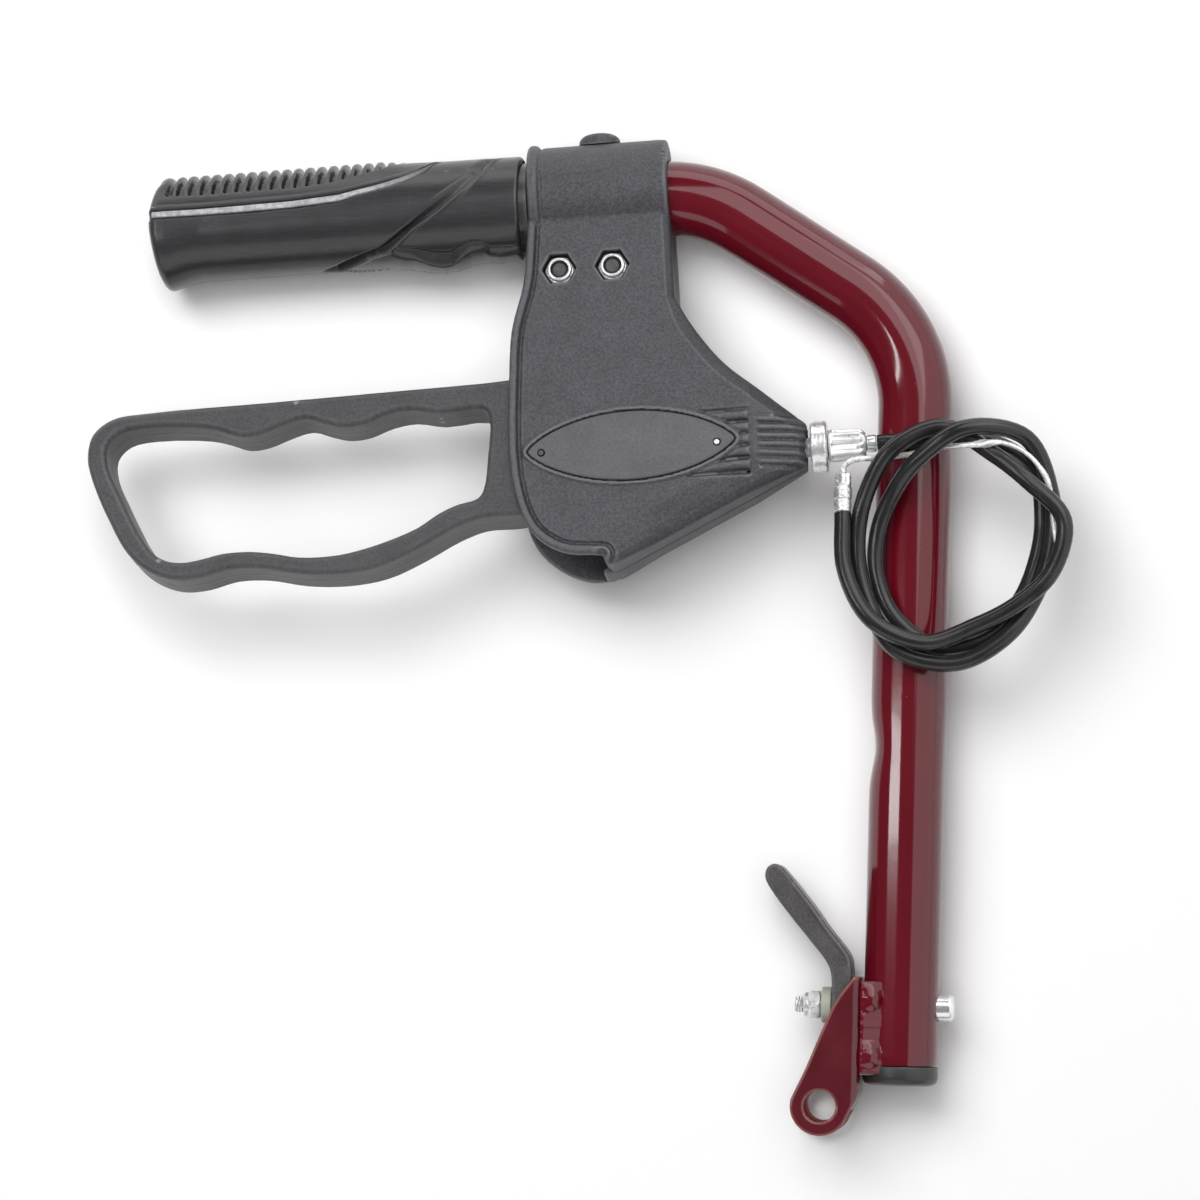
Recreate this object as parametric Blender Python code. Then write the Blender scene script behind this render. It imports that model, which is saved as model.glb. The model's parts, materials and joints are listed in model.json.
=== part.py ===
"""Handle assembly of a wheeled walker, as one part in Blender 4.5.

The assembly lies flat. Its bent steel tube lies in the XY plane: the leg runs along Y and the grip
points to -X. Lengths are in millimetres and turn into metres when a mesh is made. Each piece is
modelled in one of two frames: the leg frame, with its origin at the middle of the leg tube's lower
end, and the housing frame, whose X axis runs along the grip and whose Z axis is the housing's normal.
"""

import math

import bmesh
import bpy
from mathutils import Euler, Matrix, Vector

MM = 0.001
GAP = 0.3

# Handle tube
TUBE_R = 11.1
TUBE_WALL = 1.5
LEG_TOP = (0.0, 217.4)
GRIP_CORNER = (-64.6, 257.3)
BEND_R = 42.0
GRIP_SLOPE = math.radians(5.0)
GRIP_LENGTH = 164.0
DENT_Y = 93.5
DENT_LENGTH = 15.0
DENT_DEPTH = 1.6

# Housing frame: its origin is on the grip's axis, this far from the grip corner
HOUSING_BACK_OFF = 31.0
HOUSING_TILT = math.radians(-9.0)
FACE_Z = 12.7
WALL = 2.4
CLAMP_R = 16.0
CLAMP_Y = 1.6
CLAMP_X = (-20.5, 21.0)
SPLIT = 0.15
POCKET_TOP = -34.0
BOLTS = ((-12.3, -23.4), (3.5, -23.3))
BOLT_R = 2.5
NUT_FLATS = 8.0
NUT_HEIGHT = 5.0
PLATE_CENTRE = (6.7, -79.0)
PLATE_HALF = (30.6, 10.4)
PLATE_PINS = ((-19.9, -79.5), (32.0, -79.8))
PLATE_PIN_HOLE_R = 1.1
NOSE_X = 58.0

# Cable adjuster, on an axis along the housing's X
ADJUSTER_Y = -80.1
THREAD_R = 2.9
SEAT_NUT_X = (50.0, 54.6)
SEAT_NUT_HALF = 5.0
LOCK_NUT_X = (58.9, 63.8)
BARREL_X = (64.0, 75.0)
SLEEVE_END_X = 78.0

# Brake lever
PIVOT = (4.0, -60.0, 0.0)
PIN_R = 3.0
BUSH_R = 4.9
LEVER_HALF = 9.8
NIPPLE = (4.0, -80.1, 0.0)
NIPPLE_R = 3.5

# Lower bracket, lock pin and release paddle
PIN_Y = 17.1
PIN_TIP_R = 4.0
STUD_R = 2.5
BRACKET_HALF = 12.5
PLATE_T = 2.5
WEB_X = -TUBE_R - GAP
EYE = (-22.8, -12.4)
EYE_R = 8.7
EYE_HOLE_R = 4.7
PADDLE_AXIS = (-14.2, 26.0)
PADDLE_HALF = 9.4

# Brake cable: the loops turn about this point, one radius and one height for each step
SHEATH_R = 2.5
WIRE_R = 0.8
LOOP_CENTRE = (13.4, 153.9)
LOOP_START = math.radians(102.7)
LOOP_STEP = math.radians(-29.0)
LOOPS = (
    (30.0, 14.8), (31.0, 13.6), (31.0, 11.7), (26.0, 10.5), (24.0, 10.7), (25.5, 11.9),
    (29.5, 13.5), (31.5, 14.3), (28.5, 14.1), (25.0, 13.7), (23.0, 14.3), (23.0, 17.3),
    (26.0, 22.6), (32.5, 24.8), (36.3, 18.9), (31.0, 16.3), (28.0, 15.5), (28.0, 15.6),
    (31.5, 17.1), (36.0, 17.9), (36.5, 17.2), (31.0, 16.6), (29.0, 16.2), (29.5, 18.1),
    (32.5, 19.4), (33.5, 19.1), (27.5, 20.1), (27.0, 23.3), (32.0, 23.4), (29.6, 22.3),
    (26.0, 21.2), (26.0, 20.0), (31.5, 21.2), (34.0, 22.4), (33.5, 20.8), (34.0, 19.4),
)
SHEATH_STEPS = 2
FERRULE_LENGTH = 11.6
FERRULE_R = 2.6
WIRE_ROUTE = (
    (-17.8, 176.6, 18.7), (-13.6, 177.4, 18.4), (-10.8, 177.6, 16.5), (-6.8, 178.2, 15.6),
    (-1.6, 179.0, 15.8), (8.1, 180.9, 19.6), (13.8, 181.3, 21.9), (20.0, 181.7, 23.4),
    (25.7, 182.5, 22.0), (30.0, 181.5, 20.6), (32.9, 179.9, 20.5), (35.5, 177.8, 20.9),
    (37.6, 175.2, 21.0), (39.5, 172.3, 20.8), (40.8, 167.2, 19.9), (41.8, 160.3, 19.4),
    (42.4, 156.0, 19.2), (43.3, 151.7, 19.0),
)


# ---------------------------------------------------------------- scene and materials

def clear_scene():
    for old in list(bpy.data.objects):
        bpy.data.objects.remove(old, do_unlink=True)


def paint(name, colour, roughness, metallic=0.0):
    material = bpy.data.materials.new(name)
    material.use_nodes = True
    shader = material.node_tree.nodes["Principled BSDF"]
    shader.inputs["Base Color"].default_value = (*colour, 1.0)
    shader.inputs["Roughness"].default_value = roughness
    shader.inputs["Metallic"].default_value = metallic
    material.diffuse_color = (*colour, 1.0)
    return material


def empty(name, parent=None, location=(0, 0, 0), rotation=(0, 0, 0)):
    holder = bpy.data.objects.new(name, None)
    bpy.context.collection.objects.link(holder)
    holder.parent = parent
    holder.location = Vector(location) * MM
    holder.rotation_euler = Euler(rotation)
    return holder


def add(name, bm, frame, material=None, origin=(0, 0, 0)):
    """Make an object in a frame from a bmesh in millimetres, with its own origin at origin."""
    bmesh.ops.translate(bm, verts=bm.verts, vec=-Vector(origin))
    bmesh.ops.scale(bm, verts=bm.verts, vec=(MM, MM, MM))
    bmesh.ops.recalc_face_normals(bm, faces=bm.faces)
    mesh = bpy.data.meshes.new(name)
    bm.to_mesh(mesh)
    bm.free()
    mesh.shade_smooth()
    mesh.set_sharp_from_angle(angle=math.radians(32))
    piece = bpy.data.objects.new(name, mesh)
    bpy.context.collection.objects.link(piece)
    piece.parent = frame
    piece.location = Vector(origin) * MM
    if material:
        mesh.materials.append(material)
    return piece


def combine(target, tool, operation):
    """Add or cut a tool object with an exact Boolean; the tool stays as a hidden guide."""
    tool.hide_render = True
    tool.display_type = "WIRE"
    boolean = target.modifiers.new(tool.name, "BOOLEAN")
    boolean.operation = operation
    boolean.solver = "EXACT"
    boolean.object = tool


def cut(target, bm, frame, origin=(0, 0, 0)):
    number = len(target.modifiers)
    combine(target, add(f"{target.name}_cutter_{number}", bm, frame, origin=origin), "DIFFERENCE")


def join(target, bm, frame, origin=(0, 0, 0)):
    number = len(target.modifiers)
    combine(target, add(f"{target.name}_added_{number}", bm, frame, origin=origin), "UNION")


# ---------------------------------------------------------------- outlines

def smooth_run(points, steps=4):
    """A smooth open curve through the points, with this many pieces for each span."""
    points = [Vector(p) for p in points]
    chain = [points[0] * 2 - points[1]] + points + [points[-1] * 2 - points[-2]]
    curve = []
    for before, start, end, after in zip(chain, chain[1:], chain[2:], chain[3:]):
        back = math.sqrt((start - before).length)
        span = math.sqrt((end - start).length)
        ahead = math.sqrt((after - end).length)
        chord = end - start
        leave = (start - before) * (span / back) - (end - before) * (span / (back + span)) + chord
        arrive = chord - (after - start) * (span / (span + ahead)) + (after - end) * (span / ahead)
        for step in range(steps):
            t = step / steps
            square = 3 * chord - 2 * leave - arrive
            cube = leave + arrive - 2 * chord
            curve.append(start + leave * t + square * t ** 2 + cube * t ** 3)
    curve.append(points[-1])
    return curve


def smooth_loop(points, steps=4):
    """A closed curve through the points."""
    count = len(points)
    wrapped = [points[(i - 1) % count] for i in range(count + 3)]
    return smooth_run(wrapped, steps)[steps:-steps - 1]


def arc(centre, radius, start, end, steps):
    """Points on an arc, with its angles in degrees."""
    curve = []
    for i in range(steps + 1):
        angle = math.radians(start + (end - start) * i / steps)
        curve.append(Vector((centre[0] + radius * math.cos(angle), centre[1] + radius * math.sin(angle))))
    return curve


def polygon(centre, radius, sides, turn=0.0):
    return arc(centre, radius, turn, turn + 360.0 * (sides - 1) / sides, sides - 1)


def inset(outline, depths):
    """Move each point of a counter-clockwise outline inwards by its own depth."""
    moved = []
    count = len(outline)
    for i, point in enumerate(outline):
        into = (point - outline[i - 1]).normalized()
        out_of = (outline[(i + 1) % count] - point).normalized()
        normal_in = Vector((-into.y, into.x))
        normal_out = Vector((-out_of.y, out_of.x))
        middle = (normal_in + normal_out).normalized()
        moved.append(point + middle * (depths[i] / max(0.5, middle.dot(normal_in))))
    return moved


def counter_clockwise(outline):
    area = sum(a.x * b.y - b.x * a.y for a, b in zip(outline, outline[1:] + outline[:1]))
    return outline if area > 0 else outline[::-1]


# ---------------------------------------------------------------- solids

def loft(levels):
    """Join outlines of equal length at rising heights into one closed solid along Z."""
    bm = bmesh.new()
    rings = [[bm.verts.new((p[0], p[1], z)) for p in outline] for z, outline in levels]
    count = len(rings[0])
    for lower, upper in zip(rings, rings[1:]):
        for i in range(count):
            bm.faces.new((lower[i], lower[(i + 1) % count], upper[(i + 1) % count], upper[i]))
    bm.faces.new(rings[0][::-1])
    bm.faces.new(rings[-1])
    return bm


def prism(outline, low, high):
    return loft([(low, outline), (high, outline)])


def box(low, high):
    corners = [(low[0], low[1]), (high[0], low[1]), (high[0], high[1]), (low[0], high[1])]
    return prism(corners, low[2], high[2])


def turned(profile, axis="X", centre=(0, 0, 0), sides=24, closed=False):
    """Turn a profile of (place along the axis, radius) about the axis through centre."""
    bm = bmesh.new()
    rings = []
    for along, radius in profile:
        if radius == 0:
            rings.append([bm.verts.new((along, 0, 0))])
            continue
        ring = []
        for i in range(sides):
            angle = 2 * math.pi * i / sides
            ring.append(bm.verts.new((along, radius * math.cos(angle), radius * math.sin(angle))))
        rings.append(ring)
    pairs = list(zip(rings, rings[1:]))
    if closed:
        pairs.append((rings[-1], rings[0]))
    for first, second in pairs:
        for i in range(sides):
            a, b = first[i % len(first)], first[(i + 1) % len(first)]
            c, d = second[(i + 1) % len(second)], second[i % len(second)]
            corners = list(dict.fromkeys((a, b, c, d)))
            if len(corners) > 2:
                bm.faces.new(corners)
    for ring in (rings[0], rings[-1]):
        if not closed and len(ring) > 1:
            bm.faces.new(ring)
    turns = {"X": Matrix.Identity(4), "Y": Matrix.Rotation(math.pi / 2, 4, "Z"),
             "Z": Matrix.Rotation(-math.pi / 2, 4, "Y")}
    bmesh.ops.transform(bm, matrix=Matrix.Translation(centre) @ turns[axis], verts=bm.verts)
    return bm


def rod(radius, low, high, axis="X", centre=(0, 0, 0), sides=24):
    return turned([(low, radius), (high, radius)], axis, centre, sides)


def swept_ring(rings):
    """Close a hollow tube whose outer and inner rings are given from end to end."""
    bm = bmesh.new()
    walls = [([bm.verts.new(v) for v in outer], [bm.verts.new(v) for v in inner]) for outer, inner in rings]
    sides = len(walls[0][0])
    for (outer_a, inner_a), (outer_b, inner_b) in zip(walls, walls[1:]):
        for i in range(sides):
            j = (i + 1) % sides
            bm.faces.new((outer_a[i], outer_a[j], outer_b[j], outer_b[i]))
            bm.faces.new((inner_a[j], inner_a[i], inner_b[i], inner_b[j]))
    for outer, inner in (walls[0], walls[-1]):
        for i in range(sides):
            j = (i + 1) % sides
            bm.faces.new((outer[j], outer[i], inner[i], inner[j]))
    return bm


# ---------------------------------------------------------------- handle tube and grip

def bend(corner, before, after, steps):
    """Points on the arc that rounds a corner between two unit directions."""
    turn = math.acos(max(-1.0, min(1.0, before.dot(after))))
    reach = BEND_R * math.tan(turn / 2)
    start = corner - before * reach
    side = 1.0 if before.x * after.y - before.y * after.x > 0 else -1.0
    normal = Vector((-before.y, before.x)) * side
    centre = start + normal * BEND_R
    points = []
    for i in range(steps + 1):
        spoke = Matrix.Rotation(side * turn * i / steps, 2) @ (start - centre)
        points.append(centre + spoke)
    return points


def tube_centreline():
    grip_direction = Vector((math.cos(GRIP_SLOPE), math.sin(GRIP_SLOPE)))
    corner = Vector(GRIP_CORNER)
    top = Vector(LEG_TOP)
    middle_direction = (corner - top).normalized()
    points = [Vector((0.0, 0.0)), Vector((0.0, 14.0))]
    for step in range(5):
        points.append(Vector((0.0, DENT_Y + DENT_LENGTH * (step - 2) / 3)))
    points += bend(top, Vector((0.0, 1.0)), middle_direction, 8)
    points += bend(corner, middle_direction, -grip_direction, 6)
    points.append(corner - grip_direction * GRIP_LENGTH)
    return points


def dent_depth(y):
    """How far the leg's left side is pressed in at this height."""
    reach = (y - DENT_Y) / (DENT_LENGTH / 2)
    return DENT_DEPTH * math.exp(-reach * reach)


def make_handle_tube(leg, red):
    points = tube_centreline()
    sides = 24
    rings = []
    for i, point in enumerate(points):
        along = (points[min(i + 1, len(points) - 1)] - points[max(i - 1, 0)]).normalized()
        across = Vector((-along.y, along.x))
        loops = []
        for radius in (TUBE_R, TUBE_R - TUBE_WALL):
            loop = []
            for side in range(sides):
                angle = 2 * math.pi * side / sides
                spot = point + across * (radius * math.cos(angle))
                pressed = dent_depth(point.y) * max(0.0, math.cos(angle)) ** 3 if abs(point.x) < 1.0 else 0.0
                loop.append((spot.x + pressed, spot.y, radius * math.sin(angle)))
            loops.append(loop)
        rings.append(loops)
    tube = add("handle_tube", swept_ring(rings), leg, red)
    cut(tube, rod(PIN_TIP_R + GAP, 4.0, 20.0, centre=(0, PIN_Y, 0), sides=20), leg)
    cut(tube, rod(STUD_R + GAP, -20.0, -4.0, centre=(0, PIN_Y, 0), sides=16), leg)
    return tube


def make_grip(housing, black):
    """A moulded sleeve with a closed, flared end."""
    bore = TUBE_R + GAP
    profile = [
        (-136.3, 0), (-136.3, 11.0), (-135.7, 14.0), (-134.1, 16.4), (-132.0, 17.1), (-128.0, 17.0),
        (-122.0, 16.4), (-114.0, 16.2), (-80.0, 16.2), (-62.0, 16.4), (-50.0, 16.4), (-36.0, 15.6),
        (-24.0, 15.6), (-22.4, 14.8), (-22.0, bore), (-133.2, bore), (-133.2, 0),
    ]
    return add("hand_grip", turned(profile, sides=28), housing, black)


def make_end_plug(leg, black):
    profile = [(-5.9, 0), (-5.9, 8.8), (-5.3, 10.5), (-3.9, TUBE_R), (-GAP, TUBE_R), (-GAP, 9.2),
               (8.0, 9.0), (8.0, 0)]
    return add("end_plug", turned(profile, "Y"), leg, black)


# ---------------------------------------------------------------- housing

def housing_outline():
    """The housing's outline below the tube, counter-clockwise, with how far its face is set in."""
    left = smooth_run([(-20.5, -1.0), (-21.6, -14.0), (-23.1, -27.0), (-27.1, -41.0), (-28.5, -55.0),
                       (-29.1, -86.0), (-24.3, -102.3), (-15.5, -109.4), (-3.2, -111.2)], 3)
    hollow = smooth_run([(NOSE_X, -74.0), (46.6, -64.8), (35.1, -55.0), (26.0, -42.6), (21.4, -34.0)], 4)
    points = left + [Vector((-3.0, -115.3)), Vector((NOSE_X - 0.6, -86.6))] + hollow
    points.append(Vector((21.0, -1.0)))
    face_inset = [0.8] * len(left) + [4.0] * (len(points) - len(left))
    return points, face_inset


def pocket_outline():
    """The space inside the housing, open to the left and below, where the lever moves."""
    hollow = smooth_run([(46.0, -70.5), (42.6, -68.4), (31.6, -57.8), (22.0, -44.6), (18.0, -34.8)], 3)
    points = [Vector((-21.0, POCKET_TOP)), Vector((-24.2, -45.0)), Vector((-36.0, -45.0)),
              Vector((-36.0, -122.0)), Vector((-4.2, -122.0)), Vector((-4.2, -112.8)), Vector((46.0, -90.2))]
    return points + hollow + [Vector((17.8, POCKET_TOP))]


def half_space(side, low, high):
    """Heights on one side of the split plane, lower one first."""
    return (low, high) if side > 0 else (-high, -low)


def make_shell(name, side, housing, grey):
    points, face_inset = housing_outline()
    face = inset(points, face_inset)
    levels = [(-3.0 * side, points), ((FACE_Z - 4.0) * side, points), (FACE_Z * side, face)]
    shell = add(name, loft(levels), housing, grey)
    join(shell, rod(CLAMP_R, *CLAMP_X, centre=(0, CLAMP_Y, 0), sides=40), housing)
    low, high = half_space(side, -20.0, SPLIT)
    cut(shell, box((-60, -140, low), (90, 40, high)), housing)
    low, high = half_space(side, -1.0, FACE_Z - WALL)
    cut(shell, prism(counter_clockwise(pocket_outline()), low, high), housing)
    cut(shell, rod(TUBE_R + GAP, -30, 30, sides=32), housing)
    cut(shell, rod(2.9, 10.0, 20.0, "Y", (0.3, 0, 0), 16), housing)
    cut(shell, rod(PIN_R + GAP, *half_space(side, -1.0, 11.8), "Z", PIVOT, 16), housing)
    for x, y in BOLTS:
        cut(shell, rod(BOLT_R + GAP, -20, 20, "Z", (x, y, 0), 16), housing)
    slope = [(40.0, FACE_Z + 0.02), (64.0, FACE_Z - 7.0), (64.0, 20.0), (40.0, 20.0)]
    wedge = prism([(x, z * side) for x, z in slope], 50.0, 130.0)
    bmesh.ops.rotate(wedge, verts=wedge.verts, matrix=Matrix.Rotation(math.pi / 2, 3, "X"))
    cut(shell, wedge, housing)
    cut(shell, rod(THREAD_R + 0.1 + GAP, 42.0, 62.0, centre=(0, ADJUSTER_Y, 0), sides=20), housing)
    half = SEAT_NUT_HALF + GAP
    seat_low = (SEAT_NUT_X[0] - GAP, ADJUSTER_Y - half, -half)
    cut(shell, box(seat_low, (SEAT_NUT_X[1] + GAP, ADJUSTER_Y + half, half)), housing)
    return shell


def make_front_shell(housing, grey):
    shell = make_shell("housing_front", 1, housing, grey)
    for x, y in BOLTS:
        pocket = polygon((x, y), 5.2, 6)
        cut(shell, prism(pocket, FACE_Z - 5.6, FACE_Z + 3), housing)
    cut(shell, prism(plate_outline(GAP), FACE_Z - 0.8, FACE_Z + 3), housing)
    for x, y in PLATE_PINS:
        cut(shell, rod(PLATE_PIN_HOLE_R, 8.0, 20.0, "Z", (x, y, 0), 12), housing)
    return shell


def make_back_shell(housing, grey):
    shell = make_shell("housing_back", -1, housing, grey)
    for x, y in BOLTS:
        cut(shell, rod(4.9, -20.0, -FACE_Z + 3.6, "Z", (x, y, 0), 20), housing)
    return shell


def plate_outline(grow=0.0):
    """A pointed oval: two shallow arcs that meet in small rounded tips."""
    half_length, half_height = PLATE_HALF
    points = []
    for side in (1, -1):
        for i in range(12):
            t = math.pi * i / 12
            reach = half_length * math.cos(t) * side
            height = half_height * math.sin(t) ** 1.5 * side
            points.append(Vector((PLATE_CENTRE[0] + reach, PLATE_CENTRE[1] + height)))
    return inset(points, [-grow] * len(points))


def make_cover_plate(housing, grey):
    plate = add("cover_plate", prism(plate_outline(), FACE_Z - 0.8 + GAP, FACE_Z + 0.5), housing, grey)
    for x, y in PLATE_PINS:
        cut(plate, rod(PLATE_PIN_HOLE_R, 8.0, 20.0, "Z", (x, y, 0), 12), housing)
    return plate


def make_plate_pins(housing, steel):
    for side, (x, y) in zip(("left", "right"), PLATE_PINS):
        add(f"cover_pin_{side}", rod(0.8, FACE_Z - 2.2, FACE_Z + 0.4, "Z", (x, y, 0), 12), housing, steel)


def make_clamp_bolts(housing, steel):
    for side, (x, y) in zip(("left", "right"), BOLTS):
        head = -FACE_Z + 3.3
        profile = [(-FACE_Z + 0.3, 0), (-FACE_Z + 0.3, 3.4), (-FACE_Z + 1.1, 4.6), (head, 4.6),
                   (head, BOLT_R), (FACE_Z - 1.6, BOLT_R), (FACE_Z - 0.9, 1.9), (FACE_Z - 0.9, 0)]
        bolt = add(f"clamp_bolt_{side}", turned(profile, "Z", (x, y, 0), 20), housing, steel)
        cut(bolt, prism(polygon((x, y), 1.7, 6), -20.0, -FACE_Z + 2.2), housing)
        add(f"clamp_nut_{side}", nut_solid((x, y, FACE_Z - 0.3), "Z", 1), housing, steel)


def nut_solid(top, axis, side, thread=BOLT_R):
    """A lock nut with a round collar, its collar's end at top and its body behind it."""
    hexagon = polygon((0, 0), NUT_FLATS / math.sqrt(3), 6)
    bore = polygon((0, 0), thread + 0.2, 18)
    collar = polygon((0, 0), 3.5, 18)
    flats = [ring_point(hexagon, p) for p in bore]
    levels = [(-NUT_HEIGHT, flats), (-1.6, flats), (-1.5, collar), (-0.5, collar)]
    levels.append((0.0, polygon((0, 0), 3.1, 18)))
    bm = hollow_loft(levels, bore)
    turns = {"Z": Matrix.Identity(3), "X": Matrix.Rotation(math.pi / 2, 3, "Y")}
    bmesh.ops.scale(bm, verts=bm.verts, vec=(1, 1, side))
    bmesh.ops.rotate(bm, verts=bm.verts, matrix=turns[axis])
    bmesh.ops.translate(bm, verts=bm.verts, vec=top)
    return bm


def ring_point(hexagon, direction):
    """Where a ray from the middle through direction meets the hexagon."""
    for start, end in zip(hexagon, hexagon[1:] + hexagon[:1]):
        edge = end - start
        across = direction.x * edge.y - direction.y * edge.x
        if abs(across) < 1e-9:
            continue
        reach = (start.x * edge.y - start.y * edge.x) / across
        share = (start.x * direction.y - start.y * direction.x) / across
        if reach > 0 and -1e-6 <= share <= 1 + 1e-6:
            return direction * reach
    return direction


def hollow_loft(levels, bore):
    """A loft with the same number of points in its bore, open through both ends."""
    bm = bmesh.new()
    outer = [[bm.verts.new((p.x, p.y, z)) for p in outline] for z, outline in levels]
    inner = [[bm.verts.new((p.x, p.y, z)) for p in bore] for z in (levels[0][0], levels[-1][0])]
    count = len(bore)
    rings = outer + [inner[1], inner[0]]
    for first, second in zip(rings, rings[1:] + rings[:1]):
        for i in range(count):
            j = (i + 1) % count
            bm.faces.new((first[i], first[j], second[j], second[i]))
    return bm


def make_locating_cap(housing, grey):
    profile = [(12.0, 0), (12.0, 6.2), (18.9, 6.2), (19.9, 5.4), (20.4, 3.4), (20.5, 0)]
    cap = add("locating_cap", turned(profile, "Y", (0.3, 0, 0), 20), housing, grey)
    cut(cap, rod(CLAMP_R + GAP, -20, 20, centre=(0, CLAMP_Y, 0), sides=32), housing)
    join(cap, rod(2.5, 12.0, 19.0, "Y", (0.3, 0, 0), 16), housing)
    return cap


def make_pivot_pin(housing, steel):
    profile = [(-11.5, 0), (-11.5, 2.5), (-11.0, PIN_R), (11.0, PIN_R), (11.5, 2.5), (11.5, 0)]
    return add("lever_pivot_pin", turned(profile, "Z", PIVOT, 20), housing, steel)


# ---------------------------------------------------------------- brake lever

def lever_outline():
    """Outer outline, counter-clockwise, from the hub along the top bar and back along the lower bar."""
    top_bar = [(-30.0, -55.4), (-60.0, -56.2), (-100.0, -57.0), (-138.0, -57.7)]
    end = [(-148.3, -58.8), (-154.5, -63.2), (-156.3, -70.5), (-154.4, -79.2), (-149.8, -90.8),
           (-145.2, -99.8), (-139.3, -105.8), (-131.5, -109.2), (-123.5, -109.2), (-114.5, -107.2),
           (-105.0, -107.5), (-93.5, -110.0), (-81.0, -110.8), (-69.0, -109.3), (-57.8, -104.8),
           (-47.0, -99.4), (-39.0, -96.9), (-29.0, -96.8)]
    hub = [(-16.0, -95.0), (-4.0, -90.5), (5.0, -87.2), (11.2, -83.0), (11.6, -76.5), (12.2, -68.0),
           (13.4, -60.0), (10.0, -52.8), (2.0, -50.4), (-10.0, -53.2)]
    return smooth_loop(top_bar + end + hub, 3)


def lever_window():
    """The finger loop, with three finger waves along its upper edge."""
    upper = [(-37.5, -63.6), (-50.5, -64.0), (-59.0, -62.4), (-66.5, -63.4), (-73.0, -65.7), (-79.2, -66.2),
             (-84.8, -64.7), (-90.5, -62.8), (-98.0, -64.6), (-103.8, -66.6), (-109.8, -67.1),
             (-115.5, -65.0), (-121.5, -63.3), (-138.0, -62.2)]
    left = [(-146.1, -63.4), (-150.1, -67.4), (-150.1, -73.4), (-147.3, -80.9), (-138.2, -99.6)]
    lower = [(-133.4, -103.3), (-127.7, -104.2), (-122.0, -103.4), (-116.3, -102.3), (-108.5, -102.2),
             (-101.1, -103.3), (-93.3, -105.0), (-83.8, -105.2), (-77.2, -104.4), (-67.6, -102.0),
             (-58.0, -98.5), (-51.3, -94.5), (-45.6, -92.2), (-40.2, -91.0)]
    right = [(-38.0, -88.6), (-36.2, -78.0), (-35.4, -66.0)]
    return smooth_loop(upper + left + lower + right, 2)


def rounded_levels(outline, half, radius):
    """Heights and insets that round both faces' edges."""
    narrow = inset(outline, [radius] * len(outline))
    return [(-half, narrow), (-half + radius, outline), (half - radius, outline), (half, narrow)]


def make_brake_lever(housing, grey):
    outline = counter_clockwise(lever_outline())
    lever = add("brake_lever", loft(rounded_levels(outline, LEVER_HALF, 1.6)), housing, grey, PIVOT)
    window = counter_clockwise(lever_window())
    wide = inset(window, [-1.4] * len(window))
    levels = [(-LEVER_HALF - 0.5, wide), (-LEVER_HALF + 1.2, window), (LEVER_HALF - 1.2, window),
              (LEVER_HALF + 0.5, wide)]
    cut(lever, loft(levels), housing)
    cut(lever, rod(BUSH_R + GAP, -20, 20, "Z", PIVOT, 20), housing)
    cut(lever, rod(NIPPLE_R + GAP, -20, 20, "Z", NIPPLE, 16), housing)
    cut(lever, box((NIPPLE[0], NIPPLE[1] - 1.6, -1.6), (20, NIPPLE[1] + 1.6, 1.6)), housing)
    return lever


def make_lever_fittings(housing, nylon, brass):
    half = LEVER_HALF
    profile = [(-half, PIN_R + 0.2), (-half, BUSH_R), (half, BUSH_R), (half, PIN_R + 0.2)]
    add("pivot_bush", turned(profile, "Z", PIVOT, 20, closed=True), housing, nylon, PIVOT)
    add("cable_nipple", rod(NIPPLE_R, -6.0, 6.0, "Z", NIPPLE, 16), housing, brass, PIVOT)


# ---------------------------------------------------------------- cable adjuster

def make_adjuster(housing, steel, brass):
    axis = (0, ADJUSTER_Y, 0)
    half = SEAT_NUT_HALF
    block = box((SEAT_NUT_X[0], ADJUSTER_Y - half, -half), (SEAT_NUT_X[1], ADJUSTER_Y + half, half))
    seat = add("adjuster_seat_nut", block, housing, brass)
    cut(seat, rod(THREAD_R + 0.2 + GAP, 40, 60, centre=axis, sides=20), housing)

    start, end = BARREL_X
    barrel = [(45.0, 1.3), (45.0, 2.7), (45.4, THREAD_R), (start, THREAD_R), (start + 0.2, 4.8),
              (end - 1.2, 4.8), (end, 3.3), (end, 2.3), (end - 4.0, 2.3), (end - 4.0, 1.3)]
    adjuster = add("barrel_adjuster", turned(barrel, centre=axis, closed=True), housing, steel,
                   (start, ADJUSTER_Y, 0))
    cut(adjuster, box((start + 0.6, ADJUSTER_Y - 6, 3.4), (end - 2.6, ADJUSTER_Y - 0.6, 7)), housing)

    low, high = LOCK_NUT_X
    ring = [(low, 3.2), (low, 7.1), (low + 0.5, 7.6), (high - 0.5, 7.6), (high, 7.1), (high, 3.2)]
    add("adjuster_lock_nut", turned(ring, centre=axis, closed=True, sides=28), housing, steel,
        ((low + high) / 2, ADJUSTER_Y, 0))

    flange = SLEEVE_END_X - 2.7
    sleeve = [(end - 3.7, 1.1), (end - 3.7, 2.0), (flange, 2.0), (flange, 2.6), (SLEEVE_END_X, 2.6),
              (SLEEVE_END_X, 1.1)]
    add("cable_sleeve", turned(sleeve, centre=axis, closed=True, sides=16), housing, steel)
    wire_start = NIPPLE[0] + NIPPLE_R + 8.5
    add("pull_wire", rod(WIRE_R, wire_start, SLEEVE_END_X - GAP, centre=axis, sides=8), housing, steel)


# ---------------------------------------------------------------- lower bracket

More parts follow.
